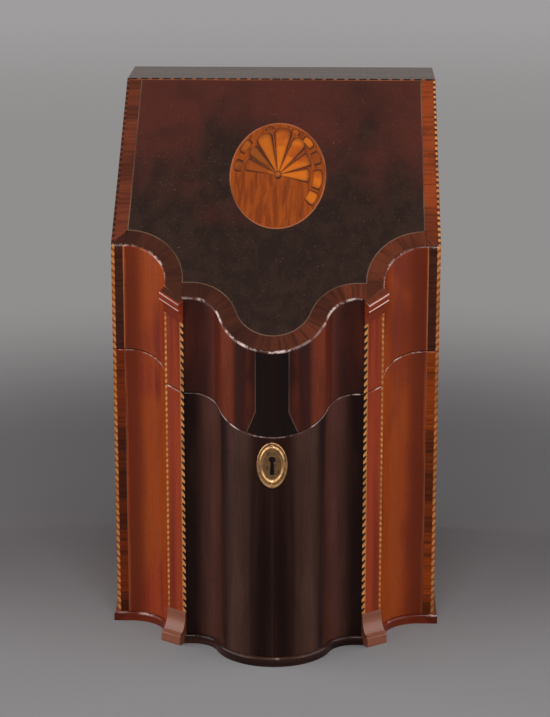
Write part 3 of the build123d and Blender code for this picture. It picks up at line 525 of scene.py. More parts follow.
def prism(shape, outline, low, high, looks, low_round=0.0, high_round=0.0, inner="inside", top=""):
    """Stand a closed outline between two heights, its shown arrises rounded. Gives back the top ring.

    looks names each section's finish, inner is the finish of edges that aren't shown and of the caps, and
    top is the upper half of the top arris's.
    """
    # The lid's lower arris is marked -1, painted shade in the parting's groove; upper arrises get pale wear
    # with painted highlights
    rows = arris(low, 1, low_round, wear_light_and_scorch=-1.0)[::-1] + arris(high, -1, high_round)
    moves = offsets(outline)
    rings = []
    for cut, side, inset, rise, wear_light_and_scorch in rows:
        ring = []
        for here, move in zip(outline, moves):
            y = here.y - move.y * inset
            ring.append(shape.vertex((here.x - move.x * inset, y, cut(y) + side * rise), wear_light_and_scorch))
        rings.append(ring)
    for number, (below, above) in enumerate(zip(rings, rings[1:])):
        for place, here in enumerate(outline):
            after = (place + 1) % len(outline)
            loop = [below[place], below[after], above[after], above[place]]
            ways = (here.way, outline[after].way, outline[after].way, here.way)
            grain = [(way, shape.vertices[vertex][2], 0.0) for way, vertex in zip(ways, loop)]
            look = looks.get(here.section, inner) if here.shown else inner
            if top and number >= len(rows) - 3 and here.shown and here.section != "side":
                look = top
            shape.face(loop, look, grain)
    shape.cap([rings[0]], inner, (0, 0, -1))
    if not top:
        shape.cap([rings[-1]], inner)
    return rings[-1]


def sweep(shape, section, origin, out, up, along, looks, worn=()):
    """Sweep a section of (out, up) points straight along, and close its ends. looks is one finish, or one
    for each edge. The last argument lists the corners whose arris is painted pale, as wear and as a painted
    highlight."""
    rows = []
    for part in (0.0, 1.0):
        row = []
        for number, (a, b) in enumerate(section):
            place = Vector(origin) + a * Vector(out) + b * Vector(up) + part * Vector(along)
            row.append(shape.vertex(place, 1.0 if number in worn else 0.0))
        rows.append(row)
    count = len(section)
    if isinstance(looks, str):
        looks = [looks] * count
    way = Vector(along).length
    girth = 0.0
    for place in range(count):
        after = (place + 1) % count
        loop = [rows[0][place], rows[0][after], rows[1][after], rows[1][place]]
        here, there = (Vector(shape.vertices[vertex]) for vertex in loop[:2])
        step = (there - here).length
        grain = [(0.0, girth, 0.0), (0.0, girth + step, 0.0), (way, girth + step, 0.0), (way, girth, 0.0)]
        girth += step
        shape.face(loop, looks[place], grain)
    shape.cap([rows[0]], looks[0], -Vector(along))
    shape.cap([rows[1]], looks[0], along)


def arc(centre, radius, start, end, steps):
    """Points of an arc between two angles in degrees."""
    turns = [radians(start + (end - start) * step / steps) for step in range(steps + 1)]
    return [(centre[0] + radius * cos(turn), centre[1] + radius * sin(turn)) for turn in turns]


def add_piece(piece, body, nodes=()):
    """Say what a piece rides on and which solids it stands for, and hide those solids."""
    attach(piece, body)
    if nodes:
        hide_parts(*nodes)


# ---------------------------------------------------------------- materials
def feed(tree, sockets, values):
    """Give each socket its value, or a link from another node's socket."""
    for socket, value in zip(sockets, values):
        if isinstance(value, bpy.types.NodeSocket):
            tree.links.new(value, socket)
        elif socket.type == "RGBA":
            socket.default_value = (*value[:3], 1.0)
        else:
            socket.default_value = value


def add_node(tree, kind, settings=None, **sockets):
    """Add a node. Each named socket takes a value or a link from another node's socket."""
    made = tree.nodes.new("ShaderNode" + kind)
    for key, value in (settings or {}).items():
        setattr(made, key, value)
    feed(tree, [made.inputs[key.replace("_", " ")] for key in sockets], sockets.values())
    return made


def maths(tree, operation, *values):
    """A maths node's output."""
    made = add_node(tree, "Math", {"operation": operation})
    feed(tree, made.inputs, values)
    return made.outputs[0]


def times(tree, first, second):
    """The product of two values."""
    return maths(tree, "MULTIPLY", first, second)


def blend(tree, factor, first, second):
    """Mix two colours and give the output."""
    made = add_node(tree, "Mix", {"data_type": "RGBA"})
    colour_sockets = [socket for socket in made.inputs if socket.type == "RGBA"]
    feed(tree, (made.inputs[0], *colour_sockets), (factor, first, second))
    return next(socket for socket in made.outputs if socket.type == "RGBA")


def spread(tree, value, low, high, start=0.0, end=1.0):
    """Stretch a value between two limits to start and end, smoothly."""
    made = add_node(tree, "MapRange", {"interpolation_type": "SMOOTHSTEP"})
    feed(tree, made.inputs, (value, low, high, start, end))
    return made.outputs[0]


def noise(tree, coordinates, scale, detail=3.0, roughness=0.5, distortion=0.0):
    """Noise stretched by three scales, in features for each metre."""
    mapped = add_node(tree, "Mapping", Vector=coordinates, Scale=scale)
    made = add_node(
        tree, "TexNoise", None, Vector=mapped.outputs[0], Scale=1.0, Detail=detail, Roughness=roughness,
        Distortion=distortion,
    )
    return made.outputs[0]


def part_of(tree, places, axis):
    """One part of a place: 0 for X, 1 for Y and 2 for Z."""
    return add_node(tree, "SeparateXYZ", None, Vector=places).outputs[axis]


def scales(axis, across, along):
    """Scales of a noise stretched along the grain, whose axis is named."""
    return {
        "X": (along, across, across),
        "Y": (across, along, across),
        "YZ": (across, along, along),
    }[axis]


def darker(tint, share):
    """A share of a colour."""
    return [channel * share for channel in tint]


def new_material(name):
    """An empty material, its tree, its shader and its output already joined."""
    material = bpy.data.materials.new(name)
    material.use_nodes = True
    tree = material.node_tree
    tree.nodes.clear()
    shader = tree.nodes.new("ShaderNodeBsdfPrincipled")
    output = tree.nodes.new("ShaderNodeOutputMaterial")
    tree.links.new(shader.outputs[0], output.inputs[0])
    return material, tree, shader


def coordinates_of(tree, kind):
    """Where the wood is in its grain: a mesh's own 'grain' places, or places in the frame."""
    if kind == "grain":
        return add_node(tree, "Attribute", {"attribute_name": "grain"}).outputs["Vector"]
    return add_node(tree, "TexCoord").outputs["Object"]


def finish_wood(tree, shader, tone, fibre, pores, polish, worn=None, rub_highlight_share=0.0):
    """Join the wood's tone, pores and pale worn arrises with painted highlights on them, and the painted
    shade in the parting's groove, to the shader, under a coat of polish.
    """
    roughness = 0.45
    if worn is not None:
        # The mesh's mark: above 0 the arris is painted pale, as wear and as a painted highlight; below 0 it
        # is painted dark as shade in the parting's groove
        edge = add_node(tree, "Attribute", {"attribute_name": "wear_light_and_scorch"}).outputs["Fac"]
        places = add_node(tree, "TexCoord").outputs["Object"]
        rub_highlights = noise(tree, places, (90.0, 90.0, 90.0), 5.0, 0.7)
        rub_highlights = spread(tree, rub_highlights, 0.5 - rub_highlight_share, 0.64 - rub_highlight_share)
        where = noise(tree, places, (26.0, 26.0, 26.0), 2.0)
        where = spread(tree, where, 0.44 - rub_highlight_share, 0.6 - rub_highlight_share, 0.25)
        rub_highlights = times(tree, rub_highlights, where)
        rub_highlights = times(tree, rub_highlights, maths(tree, "MAXIMUM", edge, 0.0))
        tone = blend(tree, rub_highlights, tone, worn)
        # Painted shade in the parting's groove, along the lid's lower arris
        groove_shade = times(tree, maths(tree, "MINIMUM", edge, 0.0), -0.85)
        tone = blend(tree, groove_shade, tone, PARTING_SHADE)
    tree.links.new(tone, shader.inputs["Base Color"])
    tree.links.new(maths(tree, "MULTIPLY_ADD", pores, 0.2, roughness), shader.inputs["Roughness"])
    bump = add_node(tree, "Bump", None, Strength=0.2, Distance=0.05 * MM)
    tree.links.new(maths(tree, "SUBTRACT", fibre, pores), bump.inputs["Height"])
    tree.links.new(bump.outputs[0], shader.inputs["Normal"])
    weight, coat_roughness = polish
    shader.inputs["Coat Weight"].default_value = weight
    shader.inputs["Coat Roughness"].default_value = coat_roughness
    shader.inputs["Coat IOR"].default_value = 1.52
    shader.inputs["IOR"].default_value = 1.45
    shader.inputs["Specular IOR Level"].default_value = 0.06


def polished_wood(
    name,
    light,
    dark,
    kind="grain",
    along="Y",
    streak=(120.0, 6.0),
    patch=None,
    patch_scale=14.0,
    polish=(0.36, 0.14),
    matched=False,
    flecks=0.0,
    worn=None,
    rub_highlight_share=0.0,
    right_tone=None,
    rising=None,
    bands=(),
    broken=1.0,
):
    """Figured wood under polish.

    along names the grain's axis in the coordinates used, and matched mirrors the figure across the middle.
    The tone given for the box's right-hand side blends in across the middle, and rising is the tone towards
    the lid's top. bands are (middle, half width, tone, amount) across the grain, and broken is the share
    left where they fade.
    """
    material, tree, shader = new_material(name)
    places = coordinates_of(tree, kind)
    if matched:
        places = add_node(tree, "VectorMath", {"operation": "ABSOLUTE"}, Vector=places).outputs[0]
    across, down = streak
    broad = noise(tree, places, scales(along, across, down), 3.0, 0.5, 0.5)
    fibre = noise(tree, places, scales(along, across * 12, down * 8), 3.0, 0.6)
    pore = spread(tree, noise(tree, places, scales(along, 3600.0, 210.0), 1.0), 0.63, 0.7)
    if right_tone is not None:
        light = blend(tree, right_side(tree), light, right_tone)
    tone = blend(tree, spread(tree, broad, 0.32, 0.66), dark, light)
    if patch is not None:
        clear = coordinates_of(tree, "object")
        cloud = noise(tree, clear, (patch_scale, patch_scale, patch_scale * 0.5), 3.0, 0.5, 0.6)
        tone = blend(tree, spread(tree, cloud, 0.44, 0.64, 0.0, 0.8), tone, patch)
    if rising is not None:
        height = part_of(tree, places, 2)
        cloud = noise(tree, places, scales(along, 26.0, 9.0), 3.0, 0.5, 0.3)
        height = maths(tree, "MULTIPLY_ADD", cloud, 0.16, height)
        tone = blend(tree, spread(tree, height, 0.37, 0.46), tone, rising)
    cloud = noise(tree, places, scales(along, 45.0, 13.0), 3.0, 0.6, 0.6)
    left = spread(tree, cloud, 0.4, 0.6, broken, 1.0)
    most_sway = 6 * MM
    for middle, half_width, tint, amount in bands:
        over = part_of(tree, places, 0)
        sway = min(half_width * 0.6, most_sway)
        wavy = maths(tree, "MULTIPLY_ADD", broad, sway, over)
        away = maths(tree, "ABSOLUTE", maths(tree, "SUBTRACT", wavy, middle + sway / 2))
        band = times(tree, spread(tree, away, half_width * 0.4, half_width, amount, 0.0), left)
        tone = blend(tree, band, tone, tint)
    tone = blend(tree, times(tree, spread(tree, fibre, 0.4, 0.7), 0.22), tone, dark)
    tone = blend(tree, times(tree, pore, 0.5), tone, darker(dark, 0.4))
    if flecks:
        speck = noise(tree, places, (900.0, 900.0, 900.0), 2.0, 0.7)
        speck = times(tree, spread(tree, speck, 0.66, 0.74), flecks)
        tone = blend(tree, speck, tone, RUBBED_HIGHLIT_WOOD)
    finish_wood(tree, shader, tone, fibre, pore, polish, worn, rub_highlight_share)
    return material


def right_side(tree):
    """From 0 on the box's left to 1 on its right."""
    x = part_of(tree, coordinates_of(tree, "object"), 0)
    return spread(tree, x, -30 * MM, 50 * MM)


def rippled_band(name, light, dark, lines="X", pitch=420.0, strength=0.8, right_tone=None, patches=0.8):
    """Crossbanding: its grain runs across the band, so the dark lines follow one another along it.

    lines names the axis along the band, and the right-hand tone is painted light: the band turns lighter on
    the box's right, as if lit from that side.
    """
    material, tree, shader = new_material(name)
    places = coordinates_of(tree, "grain")
    ripple = noise(tree, places, scales(lines, 20.0, pitch), 3.0, 0.6, 0.8)
    broad = noise(tree, places, scales(lines, 8.0, 30.0), 2.0, 0.5, 0.5)
    fibre = noise(tree, places, scales(lines, 60.0, 2600.0), 2.0, 0.6)
    pore = spread(tree, noise(tree, places, scales(lines, 300.0, 3800.0), 1.0), 0.62, 0.7)
    if right_tone is not None:
        # Painted light: lighter towards the box's right
        light = blend(tree, right_side(tree), light, right_tone)
    tone = blend(tree, times(tree, spread(tree, ripple, 0.44, 0.7), strength), light, dark)
    tone = blend(tree, times(tree, spread(tree, broad, 0.46, 0.6), patches), tone, dark)
    tone = blend(tree, times(tree, pore, 0.5), tone, darker(dark, 0.4))
    finish_wood(tree, shader, tone, fibre, pore, (0.32, 0.16), WORN_HIGHLIT_ARRIS, 0.03)
    return material


def twisted_string(name, light, dark, direction, pitch, across, gap=(0.1, 0.4), wedge=False, border=None):
    """Stringing of light and dark woods in slanting turns.

    direction is how fast the turns go by for each metre of |x|, y and z. across is how fast the way over the
    string goes by for each metre of |x| and y, and where it starts. gap is how much of a turn is dark in the
    string's middle and at its edges, or from edge to edge where the dark is a wedge.
    """
    material, tree, shader = new_material(name)
    places = coordinates_of(tree, "object")
    split = add_node(tree, "SeparateXYZ", None, Vector=places).outputs
    from_middle = maths(tree, "ABSOLUTE", split[0])
    total = times(tree, from_middle, direction[0])
    total = maths(tree, "MULTIPLY_ADD", split[1], direction[1], total)
    total = maths(tree, "MULTIPLY_ADD", split[2], direction[2], total)
    wobble = noise(tree, places, (180.0, 180.0, 180.0), 2.0)
    total = maths(tree, "MULTIPLY_ADD", wobble, 0.0016, total)
    turn = maths(tree, "FRACT", maths(tree, "DIVIDE", total, pitch))
    hump = maths(tree, "ABSOLUTE", maths(tree, "SUBTRACT", turn, 0.5))
    over = maths(tree, "MULTIPLY_ADD", from_middle, across[0], across[2])
    over = maths(tree, "MULTIPLY_ADD", split[1], across[1], over)
    if wedge:
        open_by = over
    else:
        off_centre = maths(tree, "ABSOLUTE", maths(tree, "MULTIPLY_ADD", over, 2.0, -1.0))
        open_by = maths(tree, "POWER", off_centre, 2.0)
    half_gap = maths(tree, "MULTIPLY_ADD", open_by, (gap[1] - gap[0]) / 2, gap[0] / 2)
    soft = 0.07
    lit = spread(tree, maths(tree, "SUBTRACT", hump, half_gap), -soft, soft)
    fibre = noise(tree, places, (1500.0, 1500.0, 260.0), 3.0, 0.6)
    aged = noise(tree, places, (30.0, 30.0, 22.0), 3.0)
    brown = darker(light, 0.6)
    pale = blend(tree, spread(tree, aged, 0.44, 0.66), light, brown)
    pale = blend(tree, times(tree, spread(tree, fibre, 0.35, 0.7), 0.35), pale, brown)
    tone = blend(tree, lit, dark, pale)
    if border is not None:
        tone = blend(tree, spread(tree, over, 0.12, 0.26), border, tone)
    finish_wood(tree, shader, tone, fibre, times(tree, fibre, 0.2), (0.5, 0.14))
    return material


def plain_line(name, tint):
    """Plain inlaid wood, browned in places."""
    material, tree, shader = new_material(name)
    places = coordinates_of(tree, "object")
    fibre = noise(tree, places, (900.0, 300.0, 300.0), 3.0, 0.6)
    aged = noise(tree, places, (26.0, 26.0, 26.0), 3.0)
    brown = darker(tint, 0.45)
    tone = blend(tree, spread(tree, aged, 0.4, 0.66), tint, brown)
    tone = blend(tree, times(tree, fibre, 0.3), tone, brown)
    finish_wood(tree, shader, tone, fibre, times(tree, fibre, 0.2), (0.4, 0.2))
    return material


def shaded_wood(name, tint, scorched):
    """Satinwood petals, scorched in hot sand where the mesh says so."""
    material, tree, shader = new_material(name)
    places = coordinates_of(tree, "object")
    fibre = noise(tree, places, (800.0, 200.0, 200.0), 3.0, 0.6)
    aged = noise(tree, places, (45.0, 45.0, 45.0), 3.0)
    shade = add_node(tree, "Attribute", {"attribute_name": "wear_light_and_scorch"}).outputs["Fac"]
    brown = (tint[0] * 0.62, tint[1] * 0.5, tint[2] * 0.7)
    tone = blend(tree, spread(tree, aged, 0.45, 0.62), tint, brown)
    tone = blend(tree, times(tree, fibre, 0.35), tone, brown)
    tone = blend(tree, shade, tone, scorched)
    finish_wood(tree, shader, tone, fibre, times(tree, fibre, 0.2), (0.4, 0.25))
    return material


def aged_metal(name, tint, roughness):
    """Metal with dull patches and hairline scratches."""
    material, tree, shader = new_material(name)
    places = coordinates_of(tree, "object")
    dull = noise(tree, places, (260.0, 260.0, 260.0), 4.0, 0.6)
    hair = noise(tree, places, (3600.0, 3600.0, 540.0), 2.0)
    tone = blend(tree, spread(tree, dull, 0.46, 0.7), tint, darker(tint, 0.45))
    tree.links.new(tone, shader.inputs["Base Color"])
    shader.inputs["Metallic"].default_value = 1.0
    rough = maths(tree, "MULTIPLY_ADD", dull, 0.25, roughness - 0.08)
    tree.links.new(rough, shader.inputs["Roughness"])
    bump = add_node(tree, "Bump", None, Strength=0.2, Distance=0.04 * MM, Height=hair)
    tree.links.new(bump.outputs[0], shader.inputs["Normal"])
    return material


FINISHES = {}


def finish(name):
    """A finish by name."""
    return FINISHES[name]


def make_finishes(colours):
    """Make every finish from the colours."""
    plan = Plan(bpy.context.scene.knife_box_shape)
    size = plan.size

    def over_pilaster(start, width):
        """The way over a string in the pilaster's face."""
        rate = [part / width for part in plan.along]
        return (*rate, -(plan.outer_corner[0] * rate[0] + plan.outer_corner[1] * rate[1]) - start / width)

    corner = 1 / size.corner_string
    over_corner = (-corner, corner, (plan.half - plan.front_y) * corner)
    over_edge = (-1 / size.edge_string, 0.0, plan.face / size.edge_string)
    red, red_dark, orange = colours.cove, colours.cove_dark, colours.cove_faded
    made = {
        "cove": polished_wood(
            "cove_veneer", red, red_dark, streak=(70.0, 3.0), patch=orange, patch_scale=18.0, matched=True,
            worn=WORN_HIGHLIT_ARRIS, rub_highlight_share=0.04, right_tone=colours.cove_right, polish=(0.4, 0.16),
            # Painted light beside the pilasters and painted shade beside the corner crossbands
            bands=((0.022, 0.012, colours.cove_painted_light, 0.35), (0.248, 0.018, colours.cove_shadow, 0.85)),
        ),
        "pilaster": polished_wood(
            "pilaster_veneer", red, red_dark, streak=(90.0, 4.0), worn=WORN_HIGHLIT_ARRIS, rub_highlight_share=0.06
        ),
        # The capital's marked arrises are painted pale almost all along: wear and painted highlight lines
        "capital": polished_wood("capital_veneer", red, red_dark, along="X", worn=WORN_HIGHLIT_ARRIS, rub_highlight_share=0.14),
        "bay": polished_wood(
            "bay_veneer", colours.bay, colours.bay_dark, streak=(60.0, 4.0), matched=True,
            worn=WORN_HIGHLIT_ARRIS, rub_highlight_share=0.07, polish=(0.2, 0.16),
            # The middle seam, a dark stripe, painted reflections, and painted shade in the recess beside
            # each pilaster
            bands=(
                (0.0, 0.0006, colours.bay_seam_and_reflection, 0.3),
                (0.005, 0.007, colours.bay_dark, 0.65),
                (0.025, 0.014, colours.bay_seam_and_reflection, 0.75),
                (0.056, 0.015, colours.bay_red_reflection, 0.75),
                (0.078, 0.011, colours.bay_dark, 0.95),
            ),
            broken=0.6,
        ),
        "lid_bay": polished_wood(
            "lid_bay_veneer", colours.lid_bay, colours.lid_bay_dark, streak=(70.0, 4.0), matched=True,
            worn=WORN_HIGHLIT_ARRIS, rub_highlight_share=0.04, polish=(0.3, 0.16),
            # The last band is painted shade in the recess beside each pilaster
            bands=(
                (0.012, 0.02, colours.lid_bay_dark, 0.85),
                (0.037, 0.012, colours.lid_bay_red, 0.75),
                (0.072, 0.016, colours.lid_bay_dark, 0.95),
            ),
            broken=0.4,
        ),
        "side": polished_wood(
            "side_veneer", colours.side, red_dark, streak=(55.0, 3.0), patch=red_dark, patch_scale=9.0,
            worn=RUBBED_HIGHLIT_WOOD,
        ),
        "field": polished_wood(
            "lid_field_veneer", colours.field, colours.field_dark, kind="object", streak=(110.0, 9.0),
            polish=(0.14, 0.4), flecks=0.5, rising=colours.field_red,
        ),
        "flat_top": polished_wood(
            "flat_top_veneer", colours.flat_top, darker(colours.flat_top, 0.62), kind="object", along="X",
            streak=(130.0, 7.0), polish=(0.6, 0.25),
        ),
        "side_band": rippled_band(
            "side_crossband", colours.side_band, colours.band_dark, strength=0.5,
            right_tone=colours.side_band_right_lit, patches=0.5,
        ),
        "front_band": rippled_band(
            "front_crossband", colours.front_band, colours.band_dark, pitch=300.0, strength=0.6,
            right_tone=colours.front_band_right_lit, patches=0.5,
        ),
        "corner_band": rippled_band(
            "corner_crossband", colours.corner_band, colours.band_dark, lines="Y", pitch=520.0,
            strength=0.65, right_tone=colours.corner_band_right_lit, patches=0.7,
        ),
        "lid_corner_band": rippled_band(
            "lid_corner_crossband", colours.front_band, colours.band_dark, lines="Y", pitch=520.0,
            strength=0.9, patches=0.9,
        ),
        "keystone": polished_wood(
            "keystone_veneer", STAINED_WOOD, STAINED_GRAIN, polish=(0.3, 0.16)
        ),
        "line": plain_line("light_line", colours.line),
        "wing_line": plain_line("wing_light_line", darker(colours.line, 0.6)),
        "keystone_line": plain_line("keystone_light_line", KEYSTONE_LINE),
        "faint_line": plain_line("worn_light_line", WORN_LINE),
        "corner_rope": twisted_string(
            "corner_rope_stringing", colours.boxwood, colours.amber, (-0.9, -0.9, 1.0), 5.15 * MM,
            over_corner, (0.3, 0.75),
        ),
        "thin_rope": twisted_string(
            "thin_rope_stringing", colours.boxwood, colours.amber,
            (-plan.along[0] * 0.4, -plan.along[1] * 0.4, 1.0), 4.1 * MM,
            over_pilaster(0.0, size.thin_string), (0.34, 0.9),
        ),
        "rope": twisted_string(
            "rope_stringing", colours.boxwood, colours.ebony,
            (plan.along[0] * 0.7, plan.along[1] * 0.7, 1.0), 5.1 * MM,
            over_pilaster(size.pilaster_width - size.rope_string, size.rope_string), (0.2, 0.62),
            wedge=True, border=colours.rope_border,
        ),
        "edge_chequer": twisted_string(
            "edge_chequer_stringing", colours.boxwood, colours.amber_dark, (0.0, 1.0, 0.0), 4.6 * MM,
            over_edge, (0.4, 0.8),
        ),
        "worn_chequer": twisted_string(
            "worn_chequer_stringing", colours.side_band, colours.band_dark, (0.0, 1.0, 0.0), 4.6 * MM,
            over_edge, (0.4, 0.6),
        ),
        "top_chequer": twisted_string(
            "top_chequer_stringing", darker(colours.line, 0.55), colours.ebony, (1.0, 0.0, 0.0), 8.2 * MM,
            (0.0, 0.0, 0.5), (0.7, 0.7),
        ),
        "inside": polished_wood(
            "inside_wood", INSIDE_WOOD, INSIDE_GRAIN, kind="object", along="X",
            streak=(180.0, 6.0), polish=(0.1, 0.35),
        ),
        "plain_wood": polished_wood(
            "carcase_wood", PLAIN_WOOD, PLAIN_GRAIN, kind="object", along="X",
            streak=(180.0, 6.0), polish=(0.1, 0.35),
        ),
        "foot": polished_wood(
            "foot_wood", FOOT_WOOD, FOOT_GRAIN, along="X", worn=WORN_HIGHLIT_ARRIS, rub_highlight_share=0.12,
            polish=(0.9, 0.3),
        ),
        "moulding": polished_wood(
            "moulding_wood", darker(red, 0.55), darker(red_dark, 0.5), along="X", worn=WORN_HIGHLIT_ARRIS,
            rub_highlight_share=-0.02,
        ),
        "moulding_dark": polished_wood(
            "bay_moulding_wood", colours.bay, colours.bay_dark, along="X", worn=RUBBED_HIGHLIT_WOOD, rub_highlight_share=-0.02
        ),
        "rack": polished_wood(
            "rack_veneer", RACK_WOOD, RACK_GRAIN, kind="object", along="YZ",
            streak=(300.0, 10.0), polish=(0.2, 0.3),
        ),
        "satinwood": shaded_wood("shell_satinwood", colours.satinwood, SCORCHED_WOOD),
        "shell_ring": plain_line("shell_ring", colours.shell_rim),
        "shell_half": polished_wood(
            "shell_half_veneer", colours.shell_half, colours.shell_half_dark, kind="object", along="YZ",
            streak=(420.0, 40.0), polish=(0.3, 0.25),
        ),
        "brass": aged_metal("aged_brass", colours.brass, 0.3),
        "brass_field": aged_metal("brass_field", darker(colours.brass, 0.5), 0.4),
        # Painted shade for the unlit hollows of the keyhole and the screws' slots
        "dark": plain_line("keyhole_painted_shade", HOLE_SHADE),
        "lock_brass": aged_metal("lock_brass", darker(colours.brass, 0.8), 0.38),
        "steel": aged_metal("lock_steel", STEEL, 0.42),
    }
    FINISHES.update(made)


def dress_node(name, finish_name):
    """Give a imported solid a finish."""
    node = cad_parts[name]
    node.data.materials.clear()
    node.data.materials.append(finish(finish_name))


# ---------------------------------------------------------------- operators
class KNIFEBOX_OT_finishes(bpy.types.Operator):
    """Make the finishes and give them to the solids that stay as they are."""

    bl_idname = "knife_box.finishes"
    bl_label = "Finishes"

    def execute(self, context):
        make_finishes(context.scene.knife_box_colours)
        for look, names in (
            ("plain_wood", ("base_board", "carcase_back", "lid_back", "lock_block", "lid_loop_block")),
            ("plain_wood", ("rack_ledge_left", "rack_ledge_right", "rack_ledge_back")),
            ("rack", ("rack_board",)),
            ("corner_rope", ("carcase_corner_stringing", "lid_corner_stringing")),
            ("thin_rope", ("carcase_thin_stringing", "lid_thin_stringing")),
            ("rope", ("carcase_rope_stringing", "lid_rope_stringing")),
            ("lock_brass", ("lock_case", "lock_selvedge", "lock_link_plate")),
            ("steel", ("lock_bolt", "lock_key_pin")),
            ("brass", ("hinge_pins", "hinge_leaf_lower_left", "hinge_leaf_lower_right")),
            ("brass", ("hinge_leaf_upper_left", "hinge_leaf_upper_right")),
        ):
            for name in names:
                dress_node(name, look)
        return {"FINISHED"}


WALL_LOOKS = {
    "cove": "cove",
    "pilaster": "pilaster",
    "line": "wing_line",
    "crossband": "corner_band",
    "side": "side",
}
LID_LOOKS = dict(WALL_LOOKS, line="line", bay="lid_bay", string="corner_rope", crossband="lid_corner_band")


def pair(shape, name, body, slot, nodes, **making):
    """Make a right-hand piece and its mirror image, each standing for its own solids."""
    for side, half in (("right", shape), ("left", shape.reflected())):
        piece = half.make(f"{name}_{side}", **making)
        add_piece(piece, body, [f"{node}_{side}" for node in nodes])


def wing_outline(plan):
    """Plan of the right wing."""
    outline = corners(plan.right_cove(), "cove")
    outline[-1] = outline[-1]._replace(shown=False)
    return outline + corners(reversed(plan.right_cove(plan.size.front)), "inside", False)


def bay_outline(plan):
    """Plan of the bay."""
    outline = corners(both_sides(plan.right_bay()), "bay")
    outline[-1] = outline[-1]._replace(shown=False)
    return outline + corners(reversed(both_sides(plan.right_bay(plan.size.front))), "inside", False)


def pilaster_outline(plan):
    """Plan of the right pilaster behind its strings."""
    size = plan.size
    thin, rope, depth = size.thin_string, size.pilaster_width - size.rope_string, size.string_depth
    behind = (plan.on_pilaster(0, -depth)[0] - plan.bay_end[0]) / -plan.along[0]
    places = [
        (plan.on_pilaster(rope), "pilaster", 0.4 + rope),
        (plan.on_pilaster(thin), "", 0.4 + thin),
        (plan.on_pilaster(thin, -depth), "", 0.4),
        (plan.on_pilaster(0, -depth), "cove", 0.4),
        ((size.pilaster_x, plan.cove_y), "", 0.4),
        ((plan.bay_end[0], plan.cove_y), "", 0.4),
        (plan.on_pilaster(behind, -depth), "", 0.4),
        (plan.on_pilaster(rope, -depth), "", 0.4),
    ]
    return [Corner(x, y, section, way, bool(section)) for (x, y), section, way in places]


def side_outline(plan):
    """Plan of the right side board, its veneer lapped over the back board's end."""
    size = plan.size
    y = plan.front_y
    string_y = y + size.corner_string
    line_x, band_x = plan.half - size.corner_band - size.line, plan.half - size.corner_band
    string_x = plan.half - size.corner_string
    places = [
        (plan.inner_x, y, "cove", 0.2),
        (line_x, y, "line", 0.2),
        (band_x, y, "crossband", 0.2),
        (string_x, y, "", 0.2),
        (string_x, string_y, "", 0.2),
        (plan.face, string_y, "side", 1 + string_y),
        (plan.face, plan.slope_end_y, "side", 1 + plan.slope_end_y),
        (plan.face, plan.flat_start_y, "side", 1 + plan.flat_start_y),
        (plan.face, plan.back_inner_y, "side", 1 + plan.back_inner_y),
        (plan.face, plan.hinge_y, "side", 1 + plan.hinge_y),
        (plan.face, plan.back_y, "", 1 + plan.back_y),
        (plan.half, plan.back_y, "", 0.0),
        (plan.half, plan.hinge_y, "", 0.0),
        (plan.half, plan.back_inner_y, "", 0.0),
        (plan.inner_x, plan.back_inner_y, "", 0.0),
        (plan.inner_x, plan.flat_start_y, "", 0.0),
        (plan.inner_x, plan.slope_end_y, "", 0.0),
    ]
    return [Corner(x, y, section, way, bool(section)) for x, y, section, way in places]


class KNIFEBOX_OT_walls(bpy.types.Operator):
    """Veneer the walls of the case and the lid."""

    bl_idname = "knife_box.walls"
    bl_label = "Walls"

    def execute(self, context):
        plan = Plan(context.scene.knife_box_shape)
        self.body_walls(plan, "case", "carcase")
        self.body_walls(plan, "lid", "lid")
        return {"FINISHED"}

    def body_walls(self, plan, body, nodes):
        """Walls of one body."""
        sawn = plan.size.sawn_round
        case = body == "case"
        cuts = (plan.base_top, plan.case_top) if case else (plan.lid_bottom, plan.slope_underside)
        sides = (plan.base_top, plan.case_side_top) if case else (plan.lid_side_bottom, plan.lid_underside)
        rounds = {"high_round" if case else "low_round": sawn}
        for part, outline, limits in (
            ("wing", wing_outline(plan), cuts),
            ("pilaster", pilaster_outline(plan), cuts),
            ("side", side_outline(plan), sides),
        ):
            shape = Shape()
            prism(shape, outline, *limits, WALL_LOOKS if case else LID_LOOKS, **rounds)
            pair(shape, f"{body}_{part}", body, "veneer", [f"{nodes}_{part}"])
        shape = Shape()
        prism(shape, bay_outline(plan), *cuts, {"bay": "bay" if case else "lid_bay"}, **rounds)
        add_piece(shape.make(f"{body}_bay"), body, [f"{nodes}_front_bay"])


# Corners of the shell's outline and of the hole it lies in
SHELL_STEPS = 96


